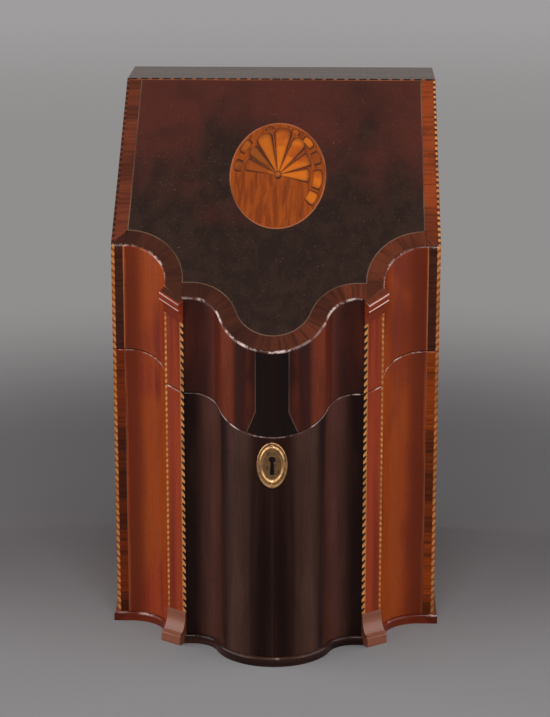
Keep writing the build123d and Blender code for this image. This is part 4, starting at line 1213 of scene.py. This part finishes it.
class KNIFEBOX_OT_lid_boards(bpy.types.Operator):
    """Veneer the lid's sloping board and flat top, and string their arrises."""

    bl_idname = "knife_box.lid_boards"
    bl_label = "Lid boards"

    def execute(self, context):
        plan = Plan(context.scene.knife_box_shape)
        self.sloping_board(plan)
        self.flat_top(plan)
        self.edge_strings(plan)
        return {"FINISHED"}

    def sloping_board(self, plan):
        """Board with its crossband, light line and field, and the shell's recess."""
        size = plan.size
        shape = Shape()
        ring = plan.lid_ring()
        outer = prism(
            shape, ring, plan.slope_underside, plan.slope_top, LID_LOOKS, high_round=size.slope_round,
            top="front_band",
        )
        rows = [outer]
        for inset, side in (
            (size.front_band, size.side_band),
            (size.front_band + size.line, size.side_band + size.line),
        ):
            row = [
                shape.vertex((here.x, here.y, plan.slope_top(here.y))) for here in plan.lid_ring(inset, side)
            ]
            rows.append(row)
        band_width = 12 * MM
        for place, here in enumerate(ring[:-1]):
            after = place + 1
            loop = [outer[place], outer[after], rows[1][after], rows[1][place]]
            if here.section == "side":
                grain = [(shape.vertices[vertex][1], shape.vertices[vertex][0], 0.0) for vertex in loop]
            else:
                ways = (here.way, ring[after].way, ring[after].way, here.way)
                grain = [(way, across, 0.0) for way, across in zip(ways, (0, 0, band_width, band_width))]
            shape.face(loop, "side_band" if here.section == "side" else "front_band", grain)
            shape.face([rows[1][place], rows[1][after], rows[2][after], rows[2][place]], "faint_line")
        hole = []
        for step in range(SHELL_STEPS):
            turn = 2 * pi * step / SHELL_STEPS
            x = size.shell_width / 2 * cos(turn)
            along = size.shell_place / cos(size.slope) + size.shell_length / 2 * sin(turn)
            hole.append(shape.vertex(plan.on_slope(x, along)))
        shape.cap([rows[2], hole], "field")
        add_piece(shape.make("lid_slope"), "lid", ["lid_slope_board"])

    def flat_top(self, plan):
        """Level board at the back of the lid."""
        size = plan.size
        outline = [
            Corner(-plan.face, plan.slope_end_y, "", 0.0, False),
            Corner(plan.face, plan.slope_end_y, "side", 1 + plan.slope_end_y, True),
            Corner(plan.face, plan.back_y, "rear", 2 + plan.face, True),
            Corner(-plan.face, plan.back_y, "side", 1 + plan.back_y, True),
        ]
        shape, top_round = Shape(), 0.6 * MM
        top = prism(
            shape, outline, lambda y: size.height - size.lid_board, lambda y: size.height,
            {"side": "side", "rear": "plain_wood"}, high_round=top_round, top="flat_top",
        )
        shape.cap([top], "flat_top")
        add_piece(shape.make("lid_top"), "lid", ["lid_flat_top"])

    def edge_strings(self, plan):
        """Chequered strings along the slope's sides and the flat top's front arris."""
        size = plan.size
        wide, proud, rounding = size.edge_string, 0.06 * MM, 0.7 * MM
        slope_length = (plan.slope_end_y - plan.front_y) / cos(size.slope)
        start = plan.on_slope(plan.face, size.slope_round)
        up = (0.0, -sin(size.slope), cos(size.slope))
        section = [(-wide, -wide), (proud, -wide)]
        section += arc((proud - rounding, proud - rounding), rounding, 0, 90, 5)
        section.append((-wide, proud))
        run = Vector(plan.on_slope(plan.face, slope_length)) - Vector(start)
        for side, look in (("right", "edge_chequer"), ("left", "worn_chequer")):
            shape = Shape()
            sweep(shape, section, start, (1, 0, 0), up, run, look)
            if side == "left":
                shape = shape.reflected()
            add_piece(shape.make(f"lid_edge_string_{side}"), "lid")
        shape = Shape()
        lean = size.slope
        section = [
            (wide, -wide),
            (wide, proud),
            (0.0, proud * 1.2),
            (-1.6 * size.line * cos(lean), -1.6 * size.line * sin(lean) + proud),
            (-2.5 * size.line * cos(lean), -2.5 * size.line * sin(lean) + proud),
        ]
        start = (-plan.face, plan.slope_end_y, size.height)
        looks = ["top_chequer", "top_chequer", "top_chequer", "wing_line", "wing_line"]
        sweep(shape, section, start, (0, 1, 0), (0, 0, 1), (2 * plan.face, 0, 0), looks)
        add_piece(shape.make("lid_top_string"), "lid")


class KNIFEBOX_OT_shell(bpy.types.Operator):
    """Inlay the shell: a fan of shaded petals over a plain half, in a ring and a light line."""

    bl_idname = "knife_box.shell"
    bl_label = "Shell inlay"

    def execute(self, context):
        self.plan = Plan(context.scene.knife_box_shape)
        self.size = context.scene.knife_box_shape
        shape = Shape()
        self.disc(shape)
        self.petals(shape)
        self.lobes(shape)
        add_piece(shape.make("shell_marquetry"), "lid", ["shell_inlay"])
        return {"FINISHED"}

    def place(self, reach, turn, proud=0.0):
        """Point of the shell: reach is 1 at the rim, turn is in degrees from the right."""
        size = self.size
        along = size.shell_place / cos(size.slope) + reach * sin(radians(turn)) * size.shell_length / 2
        return self.plan.on_slope(reach * cos(radians(turn)) * size.shell_width / 2, along, proud)

    def disc(self, shape):
        """Line round the rim and the plain wood inside it."""
        rim, edge = (
            [shape.vertex(self.place(reach, 360 * step / SHELL_STEPS)) for step in range(SHELL_STEPS)]
            for reach in (1.0, 0.975)
        )
        shape.strip(edge, rim, "shell_ring", closed=True)
        shape.cap([edge], "shell_half", (0, -1, 1))

    def petal(self, shape, middle, half_turn, start, end, aged=0.0, rounding=0.1):
        """One petal on its scorched edge. Its shading darkens towards its edges."""
        edge = 1.5 if start < 0.5 else 1.1
        under, over = 0.02 * MM, 0.04 * MM
        inward, outward, scorched = 0.01, 0.015, 0.8
        self.leaf(
            shape, middle, half_turn + edge, start - inward, end + outward, scorched, rounding, under
        )
        self.leaf(shape, middle, half_turn, start, end, aged, rounding, over)

    def leaf(self, shape, middle, half_turn, start, end, aged, rounding, proud):
        """A sheet from the hub outwards with a round end."""
        columns, lengths = 10, 8
        rows = []
        for row in range(lengths + 1):
            ring = []
            for column in range(columns + 1):
                across = 2 * column / columns - 1
                tip = end - rounding * (1 - sqrt(1 - across**2 * 0.98))
                reach = start + (tip - start) * row / lengths
                shade = min(1.0, 0.75 * abs(across) ** 8 + 0.35 * max(0.0, across) ** 3 + aged)
                if row == lengths:
                    shade = max(shade, 0.6)
                at = self.place(reach, middle - across * half_turn, proud)
                ring.append(shape.vertex(at, shade))
            rows.append(ring)
        for first, second in zip(rows, rows[1:]):
            shape.strip(second, first, "satinwood")

    def petals(self, shape):
        """Fan of petals from the hub, those on the left worn dark."""
        hub = 0.06
        for middle, half_turn, end, aged, rounding in (
            (-1, 11.5, 0.64, 0.0, 0.03),
            (25.5, 10.5, 0.71, 0.05, 0.04),
            (55, 11.5, 0.82, 0.0, 0.14),
            (84, 12.5, 0.9, 0.0, 0.12),
            (114, 12, 0.84, 0.2, 0.1),
            (139, 9.5, 0.74, 0.6, 0.08),
            (163, 10, 0.7, 0.3, 0.06),
        ):
            self.petal(shape, middle, half_turn, hub, end, aged, rounding)
        for end, aged, proud in ((0.085, 0.75, 0.05 * MM), (0.05, 0.35, 0.06 * MM)):
            self.leaf(shape, 90, 180.0, 0.0, end, aged, 0.0, proud)

    def lobes(self, shape):
        """Small lobes round the rim."""
        rounding = 0.05
        for middle, half_turn, start, end, aged in (
            (67, 5, 0.86, 0.94, 0.05),
            (45, 8, 0.82, 0.94, 0.1),
            (22, 8, 0.78, 0.93, 0.45),
            (-6, 12, 0.74, 0.92, 0.0),
            (-31, 8, 0.73, 0.92, 0.05),
            (103, 5, 0.9, 0.94, 0.6),
            (142, 9, 0.82, 0.94, 0.35),
            (168, 7, 0.78, 0.92, 0.55),
        ):
            self.petal(shape, middle, half_turn, start, end, aged, rounding)


class KNIFEBOX_OT_pilaster_ends(bpy.types.Operator):
    """Make the pilasters' capitals and feet."""

    bl_idname = "knife_box.pilaster_ends"
    bl_label = "Capitals and feet"

    def execute(self, context):
        plan = Plan(context.scene.knife_box_shape)
        self.feet(plan)
        self.capitals(plan)
        return {"FINISHED"}

    def feet(self, plan):
        """Block, fillet and cove that rise to the pilaster's face."""
        size = plan.size
        step, lip, arris_round = 1.0 * MM, 0.8 * MM, 0.7 * MM
        shoulder = size.foot_block + 2 * step
        section = [(0.0, 0.0), (size.foot, 0.0), (size.foot, size.foot_block)]
        section += [(size.foot - step, size.foot_block + step / 2), (size.foot - step, shoulder)]
        section += hollow((size.foot - step, shoulder), (lip, size.foot_height))
        section.append((0.0, size.foot_height))
        shape = Shape()
        run = (plan.along[0] * size.pilaster_width, plan.along[1] * size.pilaster_width, 0.0)
        start = (*plan.outer_corner, 0.0)
        sweep(shape, section, start, (*plan.out, 0.0), (0, 0, 1), run, "foot")
        pair(shape, "foot", "case", "veneer", ["pilaster_foot"], bevel=arris_round)

    def capitals(self, plan):
        """Band, quirk, bead and cove under the sloping edge."""
        size = plan.size
        rise = tan(size.slope)
        quirk, bead, lip = 0.8 * MM, 1.8 * MM, 0.8 * MM
        edge = size.capital * plan.out[1] * rise
        inner = size.capital - quirk
        bead_top = edge - size.capital_band - quirk
        section = [(0.0, -size.capital_height), (lip, -size.capital_height)]
        section += hollow((inner, bead_top - bead), (lip, -size.capital_height))[::-1]
        section += arc((inner, bead_top - bead / 2), bead / 2, -90, 90, 8)
        # The bead's crown and the band's top arris are painted pale: wear and painted highlight lines
        worn = [len(section) - 5, len(section) - 4]
        section += [(inner, bead_top + quirk), (size.capital, bead_top + quirk)]
        near, far, low, high = 0.3 * MM, 1.1 * MM, 0.2 * MM, 0.7 * MM
        section += [(size.capital, edge - far), (size.capital, edge - near)]
        worn.append(len(section) - 1)
        section += [(size.capital - near, edge + low), (size.capital - far, edge + high)]
        section.append((0.0, 0.0))
        looks = ["capital"] * len(section)
        looks[-2] = "front_band"
        shape = Shape()
        run = (plan.along[0] * size.pilaster_width, plan.along[1] * size.pilaster_width)
        start = (*plan.outer_corner, plan.slope_top(plan.outer_corner[1]))
        sweep(shape, section, start, (*plan.out, 0.0), (0, 0, 1), (*run, run[1] * rise), looks, worn)
        pair(shape, "capital", "lid", "veneer", ["lid_capital"])


def hollow(start, end, steps=12):
    """Quarter-oval cove between two points of a section, level at its start and upright at its end."""
    points = []
    for step in range(1, steps + 1):
        turn = pi / 2 * (step / steps)
        out = end[0] + (start[0] - end[0]) * (1 - sin(turn))
        up = start[1] + (end[1] - start[1]) * (1 - cos(turn))
        points.append((out, up))
    return points


class KNIFEBOX_OT_mouldings(bpy.types.Operator):
    """Run the base moulding round the front and sides."""

    bl_idname = "knife_box.mouldings"
    bl_label = "Base mouldings"

    def execute(self, context):
        plan = Plan(context.scene.knife_box_shape)
        size = plan.size
        far = size.moulding
        lap, under_foot = far / 2, 0.7
        outer = both_sides(plan.right_bay(-far))
        outer[0] = (outer[0][0] - lap, outer[0][1], outer[0][2])
        outer[-1] = (outer[-1][0] + lap, outer[-1][1], outer[-1][2])
        self.run(plan, outer, both_sides(plan.right_bay())[::-1], "bay_moulding", "moulding_dark")
        corner_y = plan.cove_y - size.pilaster_step - size.foot * under_foot
        outer = [(size.pilaster_x + far, corner_y, 0.1)] + plan.right_cove(-far)
        outer += [(plan.half + far, plan.front_y - far, 0.4), (plan.half + far, plan.back_y, 0.7)]
        inner = [(plan.half, plan.back_y, 0.7), (plan.half, plan.front_y, 0.4)]
        inner += plan.right_cove()[::-1] + [(size.pilaster_x, corner_y, 0.1)]
        self.run(plan, outer, inner, "side_moulding", "moulding", twin=True)
        return {"FINISHED"}

    def run(self, plan, outer, inner, name, look, twin=False):
        """One run of moulding between two lines."""
        size = plan.size
        outline = corners(outer, "moulding")
        outline[-1] = outline[-1]._replace(shown=False)
        outline += corners(inner, "inside", False)
        shape = Shape()
        prism(
            shape, outline, plan.floor, lambda y: size.moulding_height, {"moulding": look},
            high_round=size.moulding_round, inner=look,
        )
        if twin:
            nodes = ["base_moulding_wing", "base_moulding_side"]
            pair(shape, name, "case", "moulding", nodes)
        else:
            add_piece(shape.make(name), "case", ["base_moulding_bay"])


class KNIFEBOX_OT_keystone(bpy.types.Operator):
    """Inlay the dark strip in the lid's bay, edged with light lines."""

    bl_idname = "knife_box.keystone"
    bl_label = "Keystone"

    def execute(self, context):
        plan = Plan(context.scene.knife_box_shape)
        size = plan.size
        proud, edge = 0.08 * MM, 0.45 * MM
        splay_z = plan.lid_bottom(plan.crown_y) + size.keystone_splay
        # 0 is the sawn edge, 1 the top of the splayed foot and 2 the lid's arris
        levels = [part / 6 for part in range(6)] + [1.0, 2.0]
        shape = Shape()
        rows = []
        for level in levels:
            half = (size.keystone + (size.keystone_foot - size.keystone) * max(0.0, 1 - level)) / 2
            between = [half * (step / 8 - 1) for step in range(1, 16)]
            xs = [-half, -half + edge, *between, half - edge, half]
            row = []
            for x in xs:
                turn = asin(x / size.bow)
                y = plan.bow_y - (size.bow + proud) * cos(turn)
                low = plan.lid_bottom(y) + size.sawn_round
                high = plan.slope_top(y) - size.slope_round
                z = low + (splay_z - low) * level if level <= 1 else high
                row.append(shape.vertex((x * (1 + proud / size.bow), y, z)))
            rows.append(row)
        for first, second in zip(rows, rows[1:]):
            last = len(first) - 2
            for place in range(last + 1):
                look = "keystone_line" if place in (0, last) else "keystone"
                loop = [first[place], first[place + 1], second[place + 1], second[place]]
                grain = [(shape.vertices[v][0], shape.vertices[v][2], 0.0) for v in loop]
                shape.face(loop, look, grain)
        add_piece(shape.make("keystone"), "lid", ["lid_keystone"])
        return {"FINISHED"}


# Corners of a rectangle, by its half sides
SQUARE = ((-1, -1), (1, -1), (1, 1), (-1, 1))


class KNIFEBOX_OT_rack_lines(bpy.types.Operator):
    """Inlay a light line round every slot of the rack."""

    bl_idname = "knife_box.rack_lines"
    bl_label = "Rack lines"

    def execute(self, context):
        plan = Plan(context.scene.knife_box_shape)
        size = plan.size
        shape = Shape()
        for row in range(3):
            y = plan.front_y + size.first_row + row * size.row_spacing
            for column in range(6):
                x = (column - 2.5) * size.knife_spacing
                self.line(shape, plan, x, y, size.knife_slot / 2, size.knife_slot_length / 2)
        y = plan.front_y - size.spoon_row
        for column in (-1, 0, 1):
            x = column * size.spoon_spacing
            self.line(shape, plan, x, y, size.spoon_slot / 2, size.spoon_slot_length / 2)
        add_piece(shape.make("rack_slot_lines"), "case")
        return {"FINISHED"}

    def line(self, shape, plan, x, y, half_width, half_length):
        """One line, mitred at the slot's corners."""
        proud = 0.05 * MM
        drop = plan.size.rack_drop / cos(plan.size.parting) - proud
        rings = []
        for grown in (0.0, plan.size.slot_line):
            ring = []
            for over, along in SQUARE:
                corner_x, corner_y = x + over * (half_width + grown), y + along * (half_length + grown)
                ring.append(shape.vertex((corner_x, corner_y, plan.case_top(corner_y) - drop)))
            rings.append(ring)
        shape.strip(*rings, "line", closed=True)


class KNIFEBOX_OT_screws(bpy.types.Operator):
    """Screw down the hinge leaves and the lock's plates."""

    bl_idname = "knife_box.screws"
    bl_label = "Screws"

    def execute(self, context):
        plan = Plan(context.scene.knife_box_shape)
        size = plan.size
        up_slope = Vector((0.0, cos(size.parting), sin(size.parting)))
        square = Vector((0.0, -sin(size.parting), cos(size.parting)))
        lock_y = plan.crown_y + size.lock_setback
        hinge = Vector((0.0, plan.hinge_y, plan.hinge_z)) - up_slope * size.hinge_leaf * 0.6
        middle = plan.half - size.hinge_from_side
        radius = size.screw / 2
        for body, outward, lock_z, lock_x in (
            ("case", square, plan.case_top(lock_y), size.selvedge_screw),
            ("lid", -square, plan.lid_bottom(lock_y), size.link_screw),
        ):
            # Each slot is left at its own turn
            hinges, lock = Shape(), Shape()
            face = hinge - outward * size.gap / 2
            for number, x in enumerate((-middle, -middle, middle, middle)):
                place = face + Vector((x + size.hinge_screw * (-1, 1)[number % 2], 0, 0))
                self.head(hinges, place, outward, up_slope, 35 + 50 * number, "brass", radius)
            for number, x in enumerate((-lock_x, lock_x)):
                place = Vector((x, lock_y, lock_z))
                self.head(lock, place, outward, up_slope, 70 + 65 * number, "lock_brass", radius)
            add_piece(hinges.make(f"{body}_hinge_screws"), body)
            add_piece(lock.make(f"{body}_lock_screws"), body)
        return {"FINISHED"}

    def head(self, shape, place, outward, up_slope, turn, look, radius):
        """Countersunk head with a slot across it."""
        proud, sunk, slot, crown = 0.12 * MM, 0.02 * MM, 0.35 * MM, 0.96
        across = outward.cross(up_slope)
        first = across * cos(radians(turn)) + up_slope * sin(radians(turn))
        second = outward.cross(first)

        def at(over, up, out):
            """Vertex in the head's own directions."""
            return shape.vertex(place + first * over + second * up + outward * out)

        for side in (1, -1):
            start = asin(slot / radius)
            turns = [start + (pi - 2 * start) * step / 12 for step in range(13)]
            rim = [(side * radius * cos(each), side * radius * sin(each)) for each in turns]
            top = [at(over * crown, up * crown, proud) for over, up in rim]
            low = [at(over, up, 0.0) for over, up in rim]
            shape.face(top, look)
            shape.strip(top, low, look)
            foot = [at(rim[place][0] * crown, rim[place][1] * crown, sunk) for place in (0, -1)]
            # The slot's walls are painted black as shade
            shape.face([top[0], top[-1], foot[1], foot[0]], "dark")
        reach = radius * cos(asin(slot / radius)) * crown
        # The slot's floor, painted black as shade
        floor = [at(over * reach, up * slot, sunk) for over, up in SQUARE]
        shape.face(floor, "dark")


class KNIFEBOX_OT_escutcheon(bpy.types.Operator):
    """Fit the keyhole's oval plate, bent to the bow."""

    bl_idname = "knife_box.escutcheon"
    bl_label = "Escutcheon"

    def execute(self, context):
        self.plan = Plan(context.scene.knife_box_shape)
        size = self.size = self.plan.size
        self.middle_z = self.plan.keyhole_z - size.escutcheon_drop
        shape = Shape()
        rim = size.escutcheon_rim
        # Shares of the plate's half width and height, and of its rim's height
        profile = (
            (1.0, 0.0), (1.0, 0.55), (0.985, 0.75), (0.955, 0.82), (0.925, 0.74), (0.9, 0.55), (0.86, 0.5),
            (0.83, 0.62), (0.8, 0.92), (0.755, 1.0), (0.71, 0.9), (0.68, 0.6), (0.66, 0.42), (0.6, 0.38),
        )
        rows = [self.ring(shape, reach, proud * rim) for reach, proud in profile]
        shape.tube(rows, "brass")
        self.field(shape, rows[-1], profile[-1][1] * rim)
        pin_place, pin_rise = 0.43, 0.85
        for side in (-1, 1):
            self.pin(shape, self.middle_z + side * size.escutcheon_height * pin_place, pin_rise * rim)
        add_piece(shape.make("escutcheon_plate", smooth=50), "case", ["escutcheon"])
        return {"FINISHED"}

    def place(self, x, z, proud):
        """Point over the bow's face."""
        turn = asin(x / self.size.bow)
        reach = self.size.bow + proud
        return (reach * sin(turn), self.plan.bow_y - reach * cos(turn), z)

    def ring(self, shape, reach, proud, steps=72):
        """An oval ring of vertices, anticlockwise as seen from the front."""
        size = self.size
        ring = []
        for step in range(steps):
            turn = 2 * pi * step / steps
            x = reach * size.escutcheon / 2 * cos(turn)
            z = self.middle_z + reach * size.escutcheon_height / 2 * sin(turn)
            ring.append(shape.vertex(self.place(x, z, proud)))
        return ring

    def keyhole(self, shape, proud):
        """The keyhole's outline: a round hole over a slot."""
        radius, slot, foot, drop, splay = 2.2 * MM, 1.0 * MM, 1.5 * MM, 10.8 * MM, 0.6 * MM
        z = self.plan.keyhole_z
        start = -90 + degrees(asin(slot / radius))
        points = arc((0.0, z), radius, start, 180 - start, 22)
        points += [(-foot, z - drop + splay), (-foot * 0.7, z - drop), (foot * 0.7, z - drop)]
        points.append((foot, z - drop + splay))
        return [shape.vertex(self.place(x, height, proud)) for x, height in points]

    def field(self, shape, edge, proud):
        """Recessed field, pierced by the keyhole, over a black sheet of painted shade."""
        hole = self.keyhole(shape, proud)
        floor = self.keyhole(shape, 0.05 * MM)
        shape.cap([edge, hole], "brass_field", (0, -1, 0))
        shape.strip(floor, hole, "brass_field", closed=True)
        # A black sheet of painted shade behind the keyhole
        shape.cap([floor], "dark", (0, -1, 0))

    def pin(self, shape, z, proud):
        """Domed head of a pin."""
        radius, dome = 0.9 * MM, 0.5 * MM
        rows = []
        for step in range(5):
            turn = pi / 2 * step / 4
            row = []
            for side in range(12):
                way = 2 * pi * side / 12
                x, height = radius * cos(turn) * cos(way), z + radius * cos(turn) * sin(way)
                row.append(shape.vertex(self.place(x, height, proud + dome * sin(turn))))
            rows.append(row)
        shape.tube(rows, "brass")


# azimuth and height are degrees from the front and above the floor, seen from the point aimed at
Lamp = namedtuple("Lamp", "name azimuth height distance size watts")
LAMP_AIM = (0.0, -0.1, 0.12)
LAMPS = (
    Lamp("front_lamp", 4.0, 52.0, 1.7, (0.8, 0.2), 11.5),
    Lamp("left_lamp", -80.0, 18.0, 1.5, (2.0, 2.0), 25.0),
    Lamp("right_lamp", 80.0, 18.0, 1.5, (2.0, 2.0), 21.5),
)


class KNIFEBOX_OT_stage(bpy.types.Operator):
    """Set up the floor, backdrop, lights and camera."""

    bl_idname = "knife_box.stage"
    bl_label = "Stage"

    def execute(self, context):
        scene = context.scene
        stage = scene.knife_box_stage
        camera = bpy.data.objects.new("camera", bpy.data.cameras.new("camera"))
        camera.data.lens = stage.lens
        camera.data.clip_start = 0.05
        camera.location = stage.camera
        camera.rotation_euler = (pi / 2 - stage.tilt, 0.0, -stage.turn)
        scene.collection.objects.link(camera)
        scene.camera = camera
        self.paper(stage)
        self.lamps(scene)
        self.world(scene, stage)
        scene.view_settings.view_transform = "Standard"
        return {"FINISHED"}

    def paper(self, stage):
        """A wide sheet of paper, lit by the lamps near the box and plain further off."""
        shape = Shape()
        reach = 9.0
        sheet = [shape.vertex((x * reach, y * reach, 0.0)) for x, y in SQUARE]
        shape.face(sheet, "paper")
        material, tree, shader = new_material("studio_paper")
        FINISHES["paper"] = material
        places = coordinates_of(tree, "object")
        lit_y, shaded_y = -0.15, 0.12
        y = part_of(tree, places, 1)
        tone = blend(tree, spread(tree, y, lit_y, shaded_y), stage.floor, stage.shade)
        tree.links.new(tone, shader.inputs["Base Color"])
        shader.inputs["Roughness"].default_value = 0.9
        shader.inputs["Specular IOR Level"].default_value = 0.1
        away = add_node(tree, "VectorMath", {"operation": "LENGTH"}, Vector=places).outputs["Value"]
        far = times(tree, spread(tree, away, stage.lit_floor, stage.plain_floor), seen(tree))
        plain = add_node(tree, "Emission", None, Strength=1.0)
        pale_from, pale_to = 2.0, 3.7
        backdrop = blend(tree, spread(tree, away, pale_from, pale_to), stage.backdrop, stage.backdrop_top)
        tree.links.new(backdrop, plain.inputs[0])
        mixed = add_node(tree, "MixShader")
        feed(tree, mixed.inputs, (far, shader.outputs[0], plain.outputs[0]))
        output = next(each for each in tree.nodes if each.type == "OUTPUT_MATERIAL")
        tree.links.new(mixed.outputs[0], output.inputs[0])
        shape.make("studio_paper")

    def lamps(self, scene):
        """Soft lamps over the front and at both sides."""
        for each in LAMPS:
            light = bpy.data.lights.new(each.name, "AREA")
            light.shape = "RECTANGLE"
            light.size, light.size_y = each.size
            light.energy = each.watts
            lamp = bpy.data.objects.new(each.name, light)
            lamp.visible_camera = False
            turn, lift = radians(each.azimuth), radians(each.height)
            away = Vector((sin(turn) * cos(lift), -cos(turn) * cos(lift), sin(lift)))
            lamp.location = Vector(LAMP_AIM) + each.distance * away
            lamp.rotation_euler = away.to_track_quat("Z", "Y").to_euler()
            scene.collection.objects.link(lamp)

    def world(self, scene, stage):
        """Dim light all round, and the backdrop where cameras and polished surfaces see past the paper."""
        world = bpy.data.worlds.new("studio")
        world.use_nodes = True
        tree = world.node_tree
        dim = tree.nodes["Background"]
        dim.inputs[0].default_value = (0.5, 0.5, 0.51, 1.0)
        dim.inputs[1].default_value = stage.fill
        pale = add_node(tree, "Background", None, Color=(*stage.backdrop_top, 1.0), Strength=1.0)
        mixed = add_node(tree, "MixShader")
        feed(tree, mixed.inputs, (seen(tree), dim.outputs[0], pale.outputs[0]))
        tree.links.new(mixed.outputs[0], tree.nodes["World Output"].inputs[0])
        scene.world = world


def seen(tree):
    """1 for rays from the camera and for those that polished and clear surfaces send on."""
    rays = add_node(tree, "LightPath").outputs
    return maths(
        tree, "MAXIMUM", rays["Is Camera Ray"],
        maths(tree, "MAXIMUM", rays["Is Glossy Ray"], rays["Is Transmission Ray"]),
    )


OPERATORS = (
    KNIFEBOX_OT_finishes,
    KNIFEBOX_OT_walls,
    KNIFEBOX_OT_lid_boards,
    KNIFEBOX_OT_shell,
    KNIFEBOX_OT_pilaster_ends,
    KNIFEBOX_OT_mouldings,
    KNIFEBOX_OT_keystone,
    KNIFEBOX_OT_rack_lines,
    KNIFEBOX_OT_screws,
    KNIFEBOX_OT_escutcheon,
    KNIFEBOX_OT_stage,
)


class KNIFEBOX_PT_panel(bpy.types.Panel):
    """Lists the pieces in the 3D view's sidebar."""

    bl_label = "Knife Box"
    bl_space_type = "VIEW_3D"
    bl_region_type = "UI"
    bl_category = "Knife Box"

    def draw(self, context):
        for operator in OPERATORS:
            self.layout.operator(operator.bl_idname)


CLASSES = (KnifeBoxShape, KnifeBoxColours, KnifeBoxStage, *OPERATORS, KNIFEBOX_PT_panel)


def register():
    """Register the classes and the scene's properties."""
    for each in CLASSES:
        bpy.utils.register_class(each)
    bpy.types.Scene.knife_box_shape = PointerProperty(type=KnifeBoxShape)
    bpy.types.Scene.knife_box_colours = PointerProperty(type=KnifeBoxColours)
    bpy.types.Scene.knife_box_stage = PointerProperty(type=KnifeBoxStage)


def unregister():
    """Take them away again."""
    del bpy.types.Scene.knife_box_stage
    del bpy.types.Scene.knife_box_colours
    del bpy.types.Scene.knife_box_shape
    for each in reversed(CLASSES):
        bpy.utils.unregister_class(each)


def main():
    """Build every piece."""
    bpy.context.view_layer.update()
    register()
    bpy.ops.knife_box.stage()
    bpy.ops.knife_box.finishes()
    bpy.ops.knife_box.walls()
    bpy.ops.knife_box.lid_boards()
    bpy.ops.knife_box.shell()
    bpy.ops.knife_box.pilaster_ends()
    bpy.ops.knife_box.mouldings()
    bpy.ops.knife_box.keystone()
    bpy.ops.knife_box.rack_lines()
    bpy.ops.knife_box.screws()
    bpy.ops.knife_box.escutcheon()


if __name__ == "__main__":
    main()
